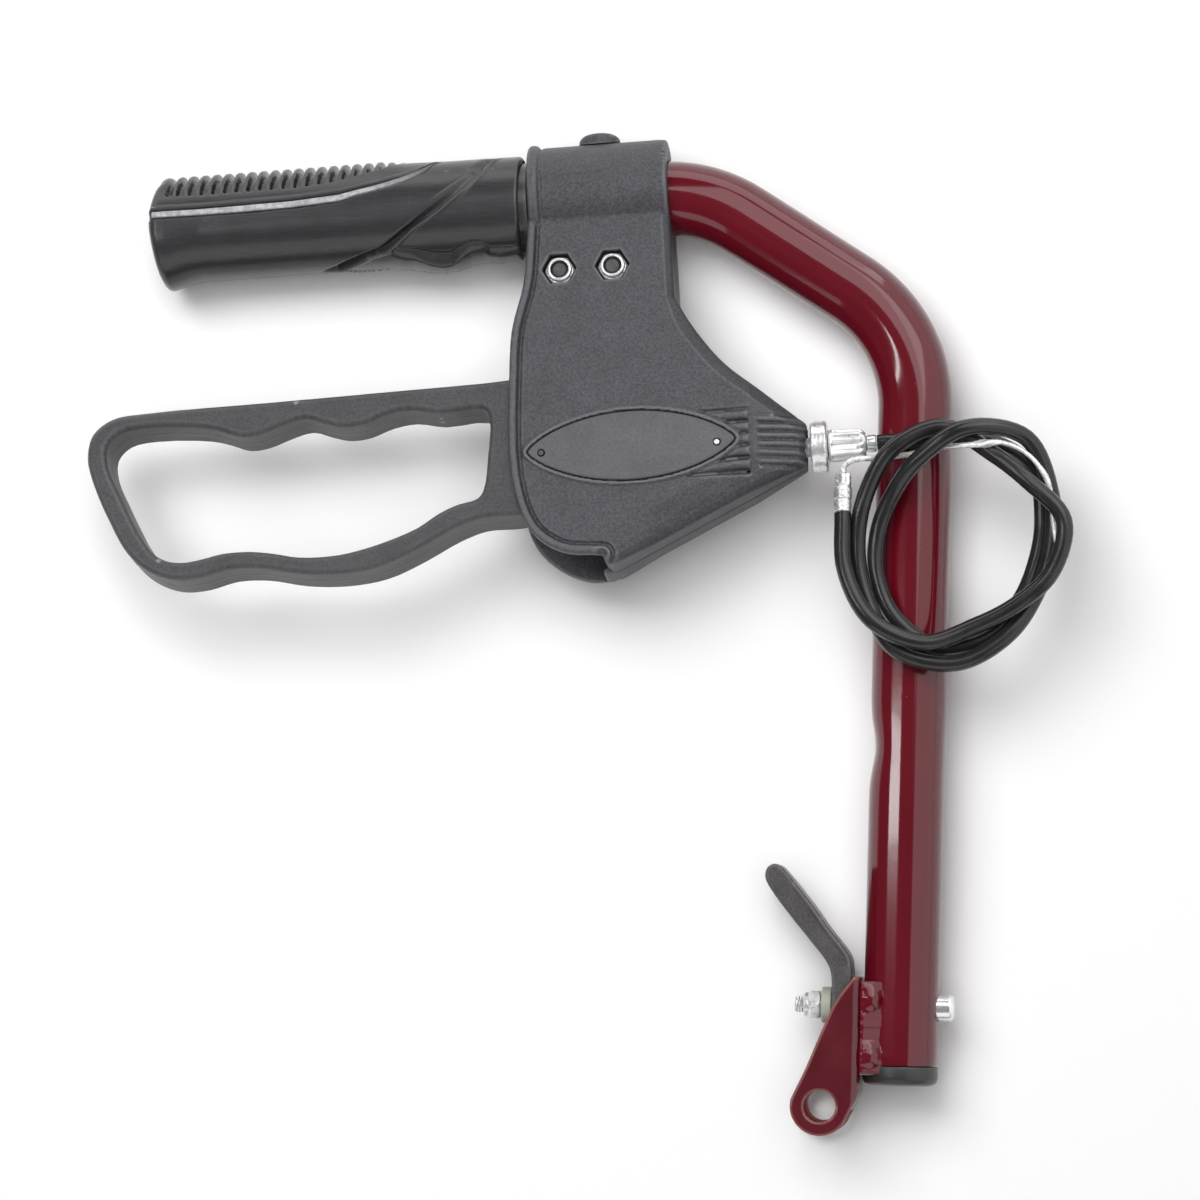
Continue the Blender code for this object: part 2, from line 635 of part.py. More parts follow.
def ear_outline():
    """The bracket's side plate: a leaf that runs from the tube down to its round eye."""
    left = [Vector((WEB_X, 25.8)), Vector((-13.6, 25.6))]
    left += smooth_run([(-13.9, 25.4), (-18.8, 18.3), (-22.8, 9.4), (-27.4, -2.0), (-30.9, -9.6)], 3)
    eye = arc(EYE, EYE_R, 168.0, 325.0, 12)
    right = smooth_run([(-14.2, -14.4), (-12.6, -11.2), (WEB_X, -8.6)], 2)
    return counter_clockwise(left + eye + right)


def make_bracket(leg, red):
    outline = ear_outline()
    bracket = add("clevis_bracket", prism(outline, -BRACKET_HALF, BRACKET_HALF), leg, red)
    inner = BRACKET_HALF - PLATE_T
    cut(bracket, box((-60, -60, -inner), (WEB_X - PLATE_T, 60, inner)), leg)
    cut(bracket, rod(EYE_HOLE_R, -20, 20, "Z", (*EYE, 0), 20), leg)
    cut(bracket, rod(STUD_R + GAP, -20, 0, centre=(0, PIN_Y, 0), sides=16), leg)
    for side in (1, -1):
        edge = [(WEB_X - 2.4, BRACKET_HALF * side), (WEB_X + 1, BRACKET_HALF * side + side),
                (WEB_X + 1, (BRACKET_HALF - 2.6) * side), (WEB_X, (BRACKET_HALF - 2.4) * side),
                (WEB_X - 0.7, (BRACKET_HALF - 0.7) * side)]
        corner = prism(edge, -40.0, 60.0)
        bmesh.ops.rotate(corner, verts=corner.verts, matrix=Matrix.Rotation(-math.pi / 2, 3, "X"))
        bmesh.ops.scale(corner, verts=corner.verts, vec=(1, 1, -1))
        cut(bracket, corner, leg)
    return bracket


def make_welds(leg, red):
    """A bead along each side of the web, in the groove between the web and the tube."""
    for name, side in (("weld_bead_front", 1), ("weld_bead_back", -1)):
        profile = [(-3.2, 0)]
        for i in range(15):
            radius = 1.25 + 0.3 * math.sin(math.pi * i / 14) + 0.1 * math.cos(2.2 * i)
            profile.append((-3.0 + 2.0 * i, radius if 0 < i < 14 else 0.8))
        profile.append((25.2, 0))
        add(name, turned(profile, "Y", (-9.1, 0, 9.35 * side), 10), leg, red)


# ---------------------------------------------------------------- lock pin and release paddle

def make_lock_pin(leg, steel, nylon):
    centre = (0, PIN_Y, 0)
    profile = [(-31.4, 0), (-31.4, 2.0), (-30.8, STUD_R), (5.3, STUD_R), (5.3, 6.0), (6.9, 6.0),
               (6.9, PIN_TIP_R), (14.8, PIN_TIP_R), (15.6, 3.2), (15.6, 0)]
    add("lock_pin", turned(profile, centre=centre), leg, steel, centre)
    nut = nut_solid((-28.8, PIN_Y, 0), "X", -1)
    add("lock_pin_nut", nut, leg, steel, centre)
    washer = [(-23.5, 2.7), (-23.5, 5.2), (-23.1, 5.5), (-20.8, 5.5), (-20.5, 5.2), (-20.5, 2.7)]
    add("lock_pin_washer", turned(washer, centre=centre, closed=True, sides=28), leg, nylon, centre)
    add("lock_pin_spring", spring_solid(-8.2, 4.9), leg, steel)


def spring_solid(low, high, coils=5.5, radius=4.0, wire=0.5, sides=6):
    bm = bmesh.new()
    steps = int(coils * 14)
    rings = []
    for i in range(steps + 1):
        share = i / steps
        angle = 2 * math.pi * coils * share
        centre = Vector((low + wire + (high - low - 2 * wire) * share, radius * math.cos(angle),
                         radius * math.sin(angle)))
        outward = Vector((0, math.cos(angle), math.sin(angle)))
        ring = []
        for side in range(sides):
            turn = 2 * math.pi * side / sides
            spot = centre + outward * (wire * math.cos(turn)) + Vector((wire * math.sin(turn), 0, 0))
            ring.append(bm.verts.new(spot + Vector((0, PIN_Y, 0))))
        rings.append(ring)
    for first, second in zip(rings, rings[1:]):
        for i in range(sides):
            j = (i + 1) % sides
            bm.faces.new((first[i], first[j], second[j], second[i]))
    bm.faces.new(rings[0])
    bm.faces.new(rings[-1])
    return bm


def make_release_paddle(leg, black):
    outer = smooth_run([(-20.2, 15.6), (-20.3, 24.4), (-21.3, 28.6), (-27.2, 36.2), (-32.8, 42.8),
                        (-38.9, 50.6), (-40.6, 54.2), (-39.6, 57.4), (-36.6, 57.8)], 3)
    inner = smooth_run([(-31.2, 52.2), (-26.3, 46.2), (-21.4, 39.6), (-15.6, 32.4), (-14.6, 29.6),
                        (-14.5, 15.6)], 3)
    outline = counter_clockwise(outer + inner)
    origin = (*PADDLE_AXIS, 0)
    paddle = add("release_paddle", loft(rounded_levels(outline, PADDLE_HALF, 0.8)), leg, black, origin)
    cut(paddle, box((-26, 10, -3.0), (-10, 20.6, 3.0)), leg)
    return paddle


# ---------------------------------------------------------------- brake cable

def round_curve(name, points, radius, leg, material, resolution):
    """A round cord through the points, with filled ends."""
    curve = bpy.data.curves.new(name, "CURVE")
    curve.dimensions = "3D"
    curve.bevel_depth = radius * MM
    curve.bevel_resolution = resolution
    curve.use_fill_caps = True
    spline = curve.splines.new("POLY")
    spline.points.add(len(points) - 1)
    for knot, point in zip(spline.points, points):
        knot.co = (*(Vector(point) * MM), 1.0)
    curve.materials.append(material)
    cord = bpy.data.objects.new(name, curve)
    bpy.context.collection.objects.link(cord)
    cord.parent = leg
    return cord


def sheath_points(exit_point, exit_direction):
    """Three loose loops that lie over the leg, from the adjuster to the end ferrule."""
    knots = [exit_point, exit_point + exit_direction * 3.0]
    for step, (radius, height) in enumerate(LOOPS):
        angle = LOOP_START + LOOP_STEP * step
        knots.append(Vector((LOOP_CENTRE[0] + radius * math.cos(angle),
                             LOOP_CENTRE[1] + radius * math.sin(angle), height)))
    return smooth_run(knots, SHEATH_STEPS)


def make_cable(leg, housing_matrix, black, steel):
    exit_point = housing_matrix @ Vector((SLEEVE_END_X + GAP, ADJUSTER_Y, 0))
    exit_direction = housing_matrix.to_3x3() @ Vector((1, 0, 0))
    points = sheath_points(exit_point, exit_direction)
    round_curve("brake_cable_sheath", points, SHEATH_R, leg, black, 3)
    end = points[-1]
    along = (end - points[-2]).normalized()
    profile = [(GAP, 0), (GAP, 2.5), (3.4, FERRULE_R), (3.8, 2.3), (4.2, FERRULE_R), (7.4, FERRULE_R),
               (7.8, 2.2), (8.2, 2.4), (FERRULE_LENGTH, 2.3), (FERRULE_LENGTH, 0)]
    ferrule = turned(profile, sides=16)
    lie = along.to_track_quat("X", "Z").to_matrix().to_4x4()
    bmesh.ops.transform(ferrule, matrix=Matrix.Translation(end) @ lie, verts=ferrule.verts)
    add("cable_end_ferrule", ferrule, leg, steel)
    wire = [end + along * (FERRULE_LENGTH + GAP), end + along * (FERRULE_LENGTH + 2.0)]
    wire += [Vector(p) for p in WIRE_ROUTE]
    round_curve("cable_end_wire", smooth_run(wire, 2), WIRE_R, leg, steel, 2)


# ---------------------------------------------------------------- assembly

CORD_NODES = ("brake_cable_sheath", "cable_end_ferrule", "cable_end_wire")


def stand_on_origin(root):
    """Move the whole assembly so that its box, cords left out, stands on the origin."""
    bpy.context.view_layer.update()
    depsgraph = bpy.context.evaluated_depsgraph_get()
    corners = []
    for piece in bpy.data.objects:
        if piece.type != "MESH" or piece.hide_render or piece.name in CORD_NODES:
            continue
        shape = piece.evaluated_get(depsgraph)
        corners += [shape.matrix_world @ vertex.co for vertex in shape.data.vertices]
    low = [min(corner[axis] for corner in corners) for axis in range(3)]
    high = [max(corner[axis] for corner in corners) for axis in range(3)]
    root.location = (-(low[0] + high[0]) / 2, -(low[1] + high[1]) / 2, -low[2])


def build():
    clear_scene()
    red = paint("burgundy_enamel", (0.16, 0.008, 0.016), 0.16)
    grey = paint("grey_moulding", (0.068, 0.068, 0.078), 0.55)
    black = paint("black_moulding", (0.022, 0.022, 0.024), 0.45)
    sheath = paint("cable_sheath", (0.035, 0.035, 0.037), 0.35)
    steel = paint("bright_steel", (0.72, 0.72, 0.72), 0.25, 1.0)
    brass = paint("brass", (0.66, 0.48, 0.22), 0.35, 1.0)
    nylon = paint("nylon", (0.42, 0.43, 0.34), 0.5)

    leg = empty("leg_frame")
    along_grip = Vector((math.cos(GRIP_SLOPE), math.sin(GRIP_SLOPE)))
    place = Vector(GRIP_CORNER) - along_grip * HOUSING_BACK_OFF
    turn = (HOUSING_TILT, 0, GRIP_SLOPE)
    housing = empty("housing_frame", leg, (place.x, place.y, 0), turn)
    housing_matrix = Matrix.Translation((place.x, place.y, 0)) @ Euler(turn).to_matrix().to_4x4()

    make_handle_tube(leg, red)
    make_grip(housing, black)
    make_end_plug(leg, black)
    make_front_shell(housing, grey)
    make_back_shell(housing, grey)
    make_cover_plate(housing, grey)
    make_plate_pins(housing, steel)
    make_clamp_bolts(housing, steel)
    make_locating_cap(housing, grey)
    make_pivot_pin(housing, steel)
    make_brake_lever(housing, grey)
    make_lever_fittings(housing, nylon, brass)
    make_adjuster(housing, steel, brass)
    make_bracket(leg, red)
    make_welds(leg, red)
    make_lock_pin(leg, steel, nylon)
    make_release_paddle(leg, black)
    make_cable(leg, housing_matrix, sheath, steel)
    stand_on_origin(leg)


build()
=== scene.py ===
"""Looks of the walker handle assembly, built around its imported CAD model.

Lengths are in millimetres until a mesh is made. Each piece is drawn in the leg frame, whose origin is
the middle of the leg tube's lower end with Y along the leg, or in the housing frame, whose X axis runs
along the grip and whose Z axis is the housing's normal.
"""

import json
from math import acos, ceil, copysign, cos, hypot, pi, radians, sin, sqrt, tan

import bmesh
import bpy
import numpy as np
from mathutils import Euler, Matrix, Vector
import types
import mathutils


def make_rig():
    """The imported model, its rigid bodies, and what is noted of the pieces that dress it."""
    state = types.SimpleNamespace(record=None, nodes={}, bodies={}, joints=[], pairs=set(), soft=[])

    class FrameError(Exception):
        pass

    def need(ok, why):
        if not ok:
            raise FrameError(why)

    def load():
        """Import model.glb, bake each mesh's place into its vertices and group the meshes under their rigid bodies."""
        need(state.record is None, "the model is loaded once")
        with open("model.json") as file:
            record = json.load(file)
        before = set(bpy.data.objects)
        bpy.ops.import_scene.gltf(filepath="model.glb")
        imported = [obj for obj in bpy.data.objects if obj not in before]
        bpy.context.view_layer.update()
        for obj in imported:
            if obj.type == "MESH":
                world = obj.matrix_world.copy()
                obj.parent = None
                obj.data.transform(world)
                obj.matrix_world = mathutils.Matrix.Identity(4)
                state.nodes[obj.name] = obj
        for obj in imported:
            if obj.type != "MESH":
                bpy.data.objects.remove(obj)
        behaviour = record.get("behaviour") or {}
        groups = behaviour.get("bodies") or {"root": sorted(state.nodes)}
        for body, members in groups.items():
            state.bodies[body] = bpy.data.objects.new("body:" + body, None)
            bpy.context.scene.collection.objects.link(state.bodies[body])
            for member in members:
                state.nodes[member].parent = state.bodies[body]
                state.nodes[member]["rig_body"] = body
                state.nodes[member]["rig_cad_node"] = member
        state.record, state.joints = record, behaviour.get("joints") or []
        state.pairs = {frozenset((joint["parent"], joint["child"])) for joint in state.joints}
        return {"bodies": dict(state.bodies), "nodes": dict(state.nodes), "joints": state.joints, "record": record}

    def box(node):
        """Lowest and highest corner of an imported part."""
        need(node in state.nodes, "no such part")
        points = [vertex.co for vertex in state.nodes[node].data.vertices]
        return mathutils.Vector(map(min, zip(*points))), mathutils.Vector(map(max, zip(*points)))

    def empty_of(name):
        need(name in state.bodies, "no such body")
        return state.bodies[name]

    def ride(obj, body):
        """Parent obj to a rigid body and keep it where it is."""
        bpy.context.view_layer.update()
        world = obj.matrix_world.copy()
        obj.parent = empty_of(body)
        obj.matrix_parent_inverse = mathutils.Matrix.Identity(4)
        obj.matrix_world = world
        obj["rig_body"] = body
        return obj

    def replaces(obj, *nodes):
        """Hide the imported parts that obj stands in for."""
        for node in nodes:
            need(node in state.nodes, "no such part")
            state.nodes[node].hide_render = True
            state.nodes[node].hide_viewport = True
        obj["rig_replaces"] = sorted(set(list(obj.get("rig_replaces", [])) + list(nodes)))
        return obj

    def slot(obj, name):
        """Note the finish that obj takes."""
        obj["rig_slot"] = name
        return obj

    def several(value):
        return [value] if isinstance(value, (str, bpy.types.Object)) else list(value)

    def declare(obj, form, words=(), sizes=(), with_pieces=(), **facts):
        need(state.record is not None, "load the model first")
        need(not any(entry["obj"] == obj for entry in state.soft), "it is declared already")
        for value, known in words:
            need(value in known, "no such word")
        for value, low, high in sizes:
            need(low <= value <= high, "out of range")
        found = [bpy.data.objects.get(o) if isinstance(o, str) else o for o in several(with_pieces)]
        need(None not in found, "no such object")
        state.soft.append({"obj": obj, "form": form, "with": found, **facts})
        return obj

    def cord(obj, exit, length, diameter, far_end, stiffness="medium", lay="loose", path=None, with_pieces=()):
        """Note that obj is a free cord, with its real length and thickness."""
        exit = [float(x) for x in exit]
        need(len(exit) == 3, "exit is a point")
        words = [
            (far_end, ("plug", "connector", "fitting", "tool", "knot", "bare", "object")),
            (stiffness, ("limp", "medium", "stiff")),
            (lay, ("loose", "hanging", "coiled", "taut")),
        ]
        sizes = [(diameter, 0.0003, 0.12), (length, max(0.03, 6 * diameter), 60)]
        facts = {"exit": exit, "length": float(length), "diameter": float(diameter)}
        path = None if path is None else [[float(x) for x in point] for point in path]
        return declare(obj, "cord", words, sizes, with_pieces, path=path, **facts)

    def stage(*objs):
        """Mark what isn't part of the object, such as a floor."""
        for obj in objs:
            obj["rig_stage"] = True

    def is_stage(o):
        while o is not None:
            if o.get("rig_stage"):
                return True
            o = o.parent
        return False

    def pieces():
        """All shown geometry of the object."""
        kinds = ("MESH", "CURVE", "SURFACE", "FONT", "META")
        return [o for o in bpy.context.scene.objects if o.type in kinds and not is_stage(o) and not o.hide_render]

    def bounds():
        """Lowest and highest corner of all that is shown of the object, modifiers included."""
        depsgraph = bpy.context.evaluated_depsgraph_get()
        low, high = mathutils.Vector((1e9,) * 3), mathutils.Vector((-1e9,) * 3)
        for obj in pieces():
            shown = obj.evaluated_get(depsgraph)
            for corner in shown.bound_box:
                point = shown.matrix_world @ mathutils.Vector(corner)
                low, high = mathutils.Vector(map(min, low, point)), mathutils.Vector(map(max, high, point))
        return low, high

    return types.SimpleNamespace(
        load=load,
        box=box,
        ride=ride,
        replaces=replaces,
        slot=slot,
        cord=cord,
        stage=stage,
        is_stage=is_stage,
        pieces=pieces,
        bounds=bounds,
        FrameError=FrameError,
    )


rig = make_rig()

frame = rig.load()
cad_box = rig.bounds()

MM = 0.001

# Numbers shared with the CAD source
TUBE_R = 11.1
TUBE_WALL = 1.5
LEG_TOP = (0.0, 217.4)
GRIP_CORNER = (-64.6, 257.3)
BEND_R = 42.0
GRIP_SLOPE = radians(5.0)
GRIP_LENGTH = 164.0
DENT = (93.5, 7.5, 1.6)
HOUSING_BACK_OFF = 31.0
HOUSING_TILT = radians(-9.0)
FACE_Z = 12.7
WALL = 2.4
CLAMP_R = 16.0
CLAMP_Y = 1.6
BOLTS = ((-12.3, -23.4), (3.5, -23.3))
BOLT_R = 2.5
NUT_FLATS = 8.0
NUT_HEIGHT = 5.0
NUT_COLLAR_R = 3.6
CAP_X = 0.3
PLATE_CENTRE = (6.7, -79.0)
PLATE_HALF = (30.6, 10.4)
PLATE_PINS = ((-19.9, -79.5), (32.0, -79.8))
ADJUSTER_Y = -80.1
PIVOT = (4.0, -60.0)
LEVER_HALF = 9.8
PIN_Y = 17.1
PIN_CENTRE = (0, PIN_Y, 0)
STUD_R = 2.5
PIN_TIP_R = 4.0
WEB_X = -11.4
SHEET = 2.5
BRACKET_HALF = 12.5
EYE = (-22.8, -12.4)
EYE_R = 8.7
EYE_HOLE_R = 4.7
PADDLE_HALF = 9.4
GAP = 0.3

# Brake cable: the loops turn about this point, one radius and one height for each step
SHEATH_R = 2.5
WIRE_R = 0.8
LOOP_CENTRE = (13.4, 153.9)
LOOP_START = radians(102.7)
LOOP_STEP = radians(-29.0)
LOOPS = (
    (30.0, 14.8), (31.0, 13.6), (31.0, 11.7), (26.0, 10.5), (24.0, 10.7), (25.5, 11.9),
    (29.5, 13.5), (31.5, 14.3), (28.5, 14.1), (25.0, 13.7), (23.0, 14.3), (23.0, 17.3),
    (26.0, 22.6), (32.5, 24.8), (36.3, 18.9), (31.0, 16.3), (28.0, 15.5), (28.0, 15.6),
    (31.5, 17.1), (36.0, 17.9), (36.5, 17.2), (31.0, 16.6), (29.0, 16.2), (29.5, 18.1),
    (32.5, 19.4), (33.5, 19.1), (27.5, 20.1), (27.0, 23.3), (32.0, 23.4), (29.6, 22.3),
    (26.0, 21.2), (26.0, 20.0), (31.5, 21.2), (34.0, 22.4), (33.5, 20.8), (34.0, 19.4),
)
FERRULE_LENGTH = 11.6
FRAY = 46.5
WIRE_ROUTE = (
    (-17.8, 176.6, 18.7), (-13.6, 177.4, 18.4), (-10.8, 177.6, 16.5), (-6.8, 178.2, 15.6),
    (-1.6, 179.0, 15.8), (8.1, 180.9, 19.6), (13.8, 181.3, 21.9), (20.0, 181.7, 23.4),
    (25.7, 182.5, 22.0), (30.0, 181.5, 20.6), (32.9, 179.9, 20.5), (35.5, 177.8, 20.9),
    (37.6, 175.2, 21.0), (39.5, 172.3, 20.8), (40.8, 167.2, 19.9), (41.8, 160.3, 19.4),
    (42.4, 156.0, 19.2), (43.3, 151.7, 19.0),
)

# The two drawing frames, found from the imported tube
tube_low, tube_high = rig.box("handle_tube")
LEG = Matrix.Translation((tube_high.x - TUBE_R * MM, tube_low.y, tube_low.z + TUBE_R * MM))
along_grip = Vector((cos(GRIP_SLOPE), sin(GRIP_SLOPE)))
housing_place = Vector(GRIP_CORNER) - along_grip * HOUSING_BACK_OFF
HOUSING_IN_LEG = (Matrix.Translation((housing_place.x * MM, housing_place.y * MM, 0))
                  @ Euler((HOUSING_TILT, 0, GRIP_SLOPE)).to_matrix().to_4x4())
HOUSING = LEG @ HOUSING_IN_LEG


# ---------------- materials

class Graph:
    """Short calls for the nodes of one material."""

    def __init__(self, tree):
        self.tree = tree
        self.place = self.result("ShaderNodeTexCoord", "Object")

    def put(self, value, socket):
        if isinstance(value, bpy.types.NodeSocket):
            self.tree.links.new(value, socket)
        else:
            socket.default_value = value

    def result(self, kind, output, inputs=None, **settings):
        """The output of a new node whose inputs are set or linked."""
        made = self.tree.nodes.new(kind)
        for key, value in settings.items():
            setattr(made, key, value)
        for key, value in (inputs or {}).items():
            self.put(value, made.inputs[key])
        return made.outputs[output]

    def noise(self, scale, detail=3.0, stretch=None):
        place = self.place
        if stretch:
            place = self.result("ShaderNodeMapping", "Vector", {"Vector": place, "Scale": stretch})
        return self.result("ShaderNodeTexNoise", "Fac", {"Vector": place, "Scale": scale, "Detail": detail})

    def dots(self, scale, size):
        """1 in small round dots, about one for each cell of this scale."""
        away = self.result("ShaderNodeTexVoronoi", "Distance", {"Vector": self.place, "Scale": scale})
        return self.remap(away, size, size * 0.6, 0.0, 1.0)

    def remap(self, value, low, high, to_low, to_high):
        return self.result("ShaderNodeMapRange", "Result", {
            "Value": value, "From Min": low, "From Max": high, "To Min": to_low, "To Max": to_high})

    def mix(self, factor, first, second):
        return self.result("ShaderNodeMix", 2, {0: factor, 6: first, 7: second}, data_type="RGBA")

    def brightened(self, colour, factor):
        return self.result("ShaderNodeHueSaturation", "Color", {"Color": colour, "Value": factor})

    def bump(self, height, depth, normal=None):
        inputs = {"Height": height, "Distance": depth * MM}
        if normal:
            inputs["Normal"] = normal
        return self.result("ShaderNodeBump", "Normal", inputs)


def shade(colour, factor):
    return (*(min(1.0, channel * factor) for channel in colour), 1.0)


def surface(name, colour, roughness, metallic=0.0, *, mottle, waves, grain, streaks_and_sheen=None, specks=None,
            wear_and_highlight=None, highlight_fade=None, fleck=None, **sockets):
    """A material with patches, waves, grain, streaks, specks, lighter edges and a colour that changes along X.

    mottle is the patches' scale and contrast; waves and grain are a bump's scale and depth in mm; streak
    is a stretch and a contrast of lighter streaks, which on the grip paint a sheen along its length; specks are
    a scale, a size and a colour; wear is the lighter edges' colour and strength, the edges partly rubbed pale
    and partly given a painted highlight; fade is where along X the colour turns into another one, and that
    colour, here a pale painted highlight giving way to a darker colour; fleck is the scale and contrast of a
    fine grain in the colour.
    """
    material = bpy.data.materials.new(name)
    material.use_nodes = True
    material.diffuse_color = (*colour, 1.0)
    shader = material.node_tree.nodes["Principled BSDF"]
    shader.inputs["Metallic"].default_value = metallic
    for key, value in sockets.items():
        shader.inputs[key.replace("_", " ")].default_value = value
    graph = Graph(material.node_tree)
    patches = graph.noise(mottle[0], 4.0)
    contrast = mottle[1]
    tint = graph.mix(graph.remap(patches, 0.3, 0.7, 0.0, 1.0), shade(colour, 1 - contrast),
                     shade(colour, 1 + contrast))
    rough = graph.remap(patches, 0.3, 0.7, roughness * (1 - contrast), roughness * (1 + contrast))
    normal = graph.bump(graph.noise(waves[0], 1.0), waves[1])
    # Lighter streaks stretched along one axis, with a faint bump: on the grip they paint a sheen along its length, on
    # the strip and the steel they are stretched tone.
    if streaks_and_sheen:
        lines = graph.noise(1.0, 3.0, streaks_and_sheen[0])
        tint = graph.mix(graph.remap(lines, 0.45, 0.75, 0.0, streaks_and_sheen[1]), tint, shade(colour, 2.2))
        normal = graph.bump(lines, 0.03, normal)
    if fleck:
        fine = graph.remap(graph.noise(fleck[0], 2.0), 0.35, 0.65, 1 - fleck[1], 1 + fleck[1])
        tint = graph.brightened(tint, fine)
    if specks:
        tint = graph.mix(graph.dots(specks[0], specks[1]), tint, (*specks[2], 1.0))
    # Lighter colour on the most convex edges: partly edges rubbed pale, partly a painted highlight along them.
    if wear_and_highlight:
        edges = graph.result("ShaderNodeNewGeometry", "Pointiness")
        worn_and_lit = graph.remap(edges, 0.51, 0.56, 0.0, wear_and_highlight[1])
        tint = graph.mix(worn_and_lit, tint, (*wear_and_highlight[0], 1.0))
    # Along X the colour turns into another one: on the grip's strip, a pale painted highlight gives way to a darker
    # colour.
    if highlight_fade:
        along = graph.result("ShaderNodeSeparateXYZ", "X", {"Vector": graph.place})
        tint = graph.mix(graph.remap(along, highlight_fade[0], highlight_fade[1], 0.0, 1.0), tint, (*highlight_fade[2], 1.0))
    normal = graph.bump(graph.noise(grain[0], 2.0), grain[1], normal)
    graph.put(tint, shader.inputs["Base Color"])
    graph.put(rough, shader.inputs["Roughness"])
    graph.put(normal, shader.inputs["Normal"])
    return material


# Where along the grip the strip's pale painted highlight gives way to a dark colour, toward the housing
STRIP_HIGHLIGHT_FADE = [(HOUSING @ Vector((x * MM, 0, 0))).x for x in (-68, -50)]

materials = {
    "enamel": surface(
        "burgundy_enamel", (0.118, 0.0030, 0.0100), 0.11, mottle=(40, 0.06), waves=(160, 0.012),
        grain=(900, 0.004), specks=(260, 0.03, (0.4, 0.2, 0.18)), Coat_Weight=0.25, Coat_Roughness=0.03),
    "rough_enamel": surface(
        "bracket_enamel", (0.098, 0.0035, 0.010), 0.22, mottle=(90, 0.15), waves=(420, 0.09),
        grain=(1500, 0.02), wear_and_highlight=((0.40, 0.14, 0.12), 0.6), Coat_Weight=0.3, Coat_Roughness=0.12),
    "grey": surface(
        "grey_moulding", (0.042, 0.042, 0.050), 0.46, mottle=(110, 0.10), waves=(500, 0.02),
        grain=(1500, 0.14), specks=(1500, 0.15, (0.14, 0.14, 0.15)), wear_and_highlight=((0.24, 0.24, 0.25), 0.5),
        fleck=(1300, 0.30)),
    "lever": surface(
        "lever_moulding", (0.040, 0.039, 0.043), 0.44, mottle=(90, 0.10), waves=(500, 0.015),
        grain=(1500, 0.12), specks=(1500, 0.14, (0.13, 0.125, 0.125)), wear_and_highlight=((0.28, 0.27, 0.27), 0.8),
        fleck=(1300, 0.25)),
    "plate": surface(
        "plate_moulding", (0.076, 0.076, 0.085), 0.36, mottle=(140, 0.08), waves=(500, 0.01),
        grain=(2000, 0.04), fleck=(1400, 0.12), specks=(900, 0.10, (0.17, 0.17, 0.18))),
    # The grip's lighter streaks along its length are a painted sheen
    "grip": surface(
        "grip_rubber", (0.028, 0.027, 0.029), 0.26, mottle=(120, 0.06), waves=(600, 0.03),
        grain=(2400, 0.02), streaks_and_sheen=((120, 1500, 1500), 0.25), specks=(700, 0.07, (0.08, 0.08, 0.085)),
        wear_and_highlight=((0.10, 0.10, 0.105), 0.5)),
    # The strip's pale grey is a painted highlight, which gives way to dark toward the housing where the band turns
    # from the light
    "strip": surface(
        "strip_painted_highlight", (0.36, 0.36, 0.38), 0.40, mottle=(200, 0.1), fleck=(700, 0.25), waves=(500, 0.02),
        grain=(2400, 0.02), streaks_and_sheen=((60, 900, 900), 0.15),
        highlight_fade=(*STRIP_HIGHLIGHT_FADE, (0.035, 0.035, 0.037))),
    "sheath": surface(
        "cable_sheath", (0.017, 0.016, 0.017), 0.22, mottle=(130, 0.2), waves=(260, 0.03),
        grain=(2600, 0.015), specks=(500, 0.07, (0.12, 0.12, 0.12))),
    "paddle": surface(
        "paddle_moulding", (0.056, 0.052, 0.054), 0.38, mottle=(160, 0.12), waves=(420, 0.03),
        grain=(1400, 0.10), fleck=(1300, 0.25), specks=(600, 0.1, (0.18, 0.17, 0.16)),
        wear_and_highlight=((0.18, 0.17, 0.165), 0.7)),
    "plug": surface(
        "plug_moulding", (0.021, 0.020, 0.0205), 0.34, mottle=(160, 0.15), waves=(420, 0.02),
        grain=(2200, 0.03), wear_and_highlight=((0.09, 0.09, 0.09), 0.6)),
    "steel": surface(
        "bright_steel", (0.80, 0.80, 0.82), 0.22, 0.8, mottle=(300, 0.10), waves=(600, 0.02),
        grain=(2800, 0.01), streaks_and_sheen=((400, 1500, 1500), 0.2)),
    "barrel": surface(
        "barrel_steel", (0.80, 0.80, 0.81), 0.30, 0.65, mottle=(400, 0.10), waves=(700, 0.03),
        grain=(2600, 0.02), wear_and_highlight=((1.0, 1.0, 1.0), 0.6)),
    "cast": surface(
        "cast_zinc", (0.76, 0.76, 0.77), 0.28, 0.7, mottle=(420, 0.15), waves=(700, 0.12),
        grain=(2200, 0.03), wear_and_highlight=((1.0, 1.0, 1.0), 0.6)),
    "strands": surface(
        "wire_steel", (0.82, 0.82, 0.83), 0.32, 0.5, mottle=(900, 0.2), waves=(800, 0.02),
        grain=(3000, 0.01)),
    # Darkened steel: on the left cover pin it paints the shade in its hollow; the clamp bolts take it too.
    "painted_shade_steel": surface(
        "painted_shade_steel", (0.10, 0.10, 0.10), 0.40, 0.8, mottle=(400, 0.25), waves=(800, 0.04),
        grain=(2600, 0.02)),
    "brass": surface(
        "brass", (0.66, 0.48, 0.22), 0.32, 1.0, mottle=(260, 0.15), waves=(700, 0.02), grain=(2600, 0.01)),
    "nylon": surface(
        "nylon", (0.36, 0.38, 0.31), 0.45, mottle=(260, 0.10), waves=(600, 0.03), grain=(2400, 0.02),
        specks=(700, 0.08, (0.5, 0.5, 0.45))),
}
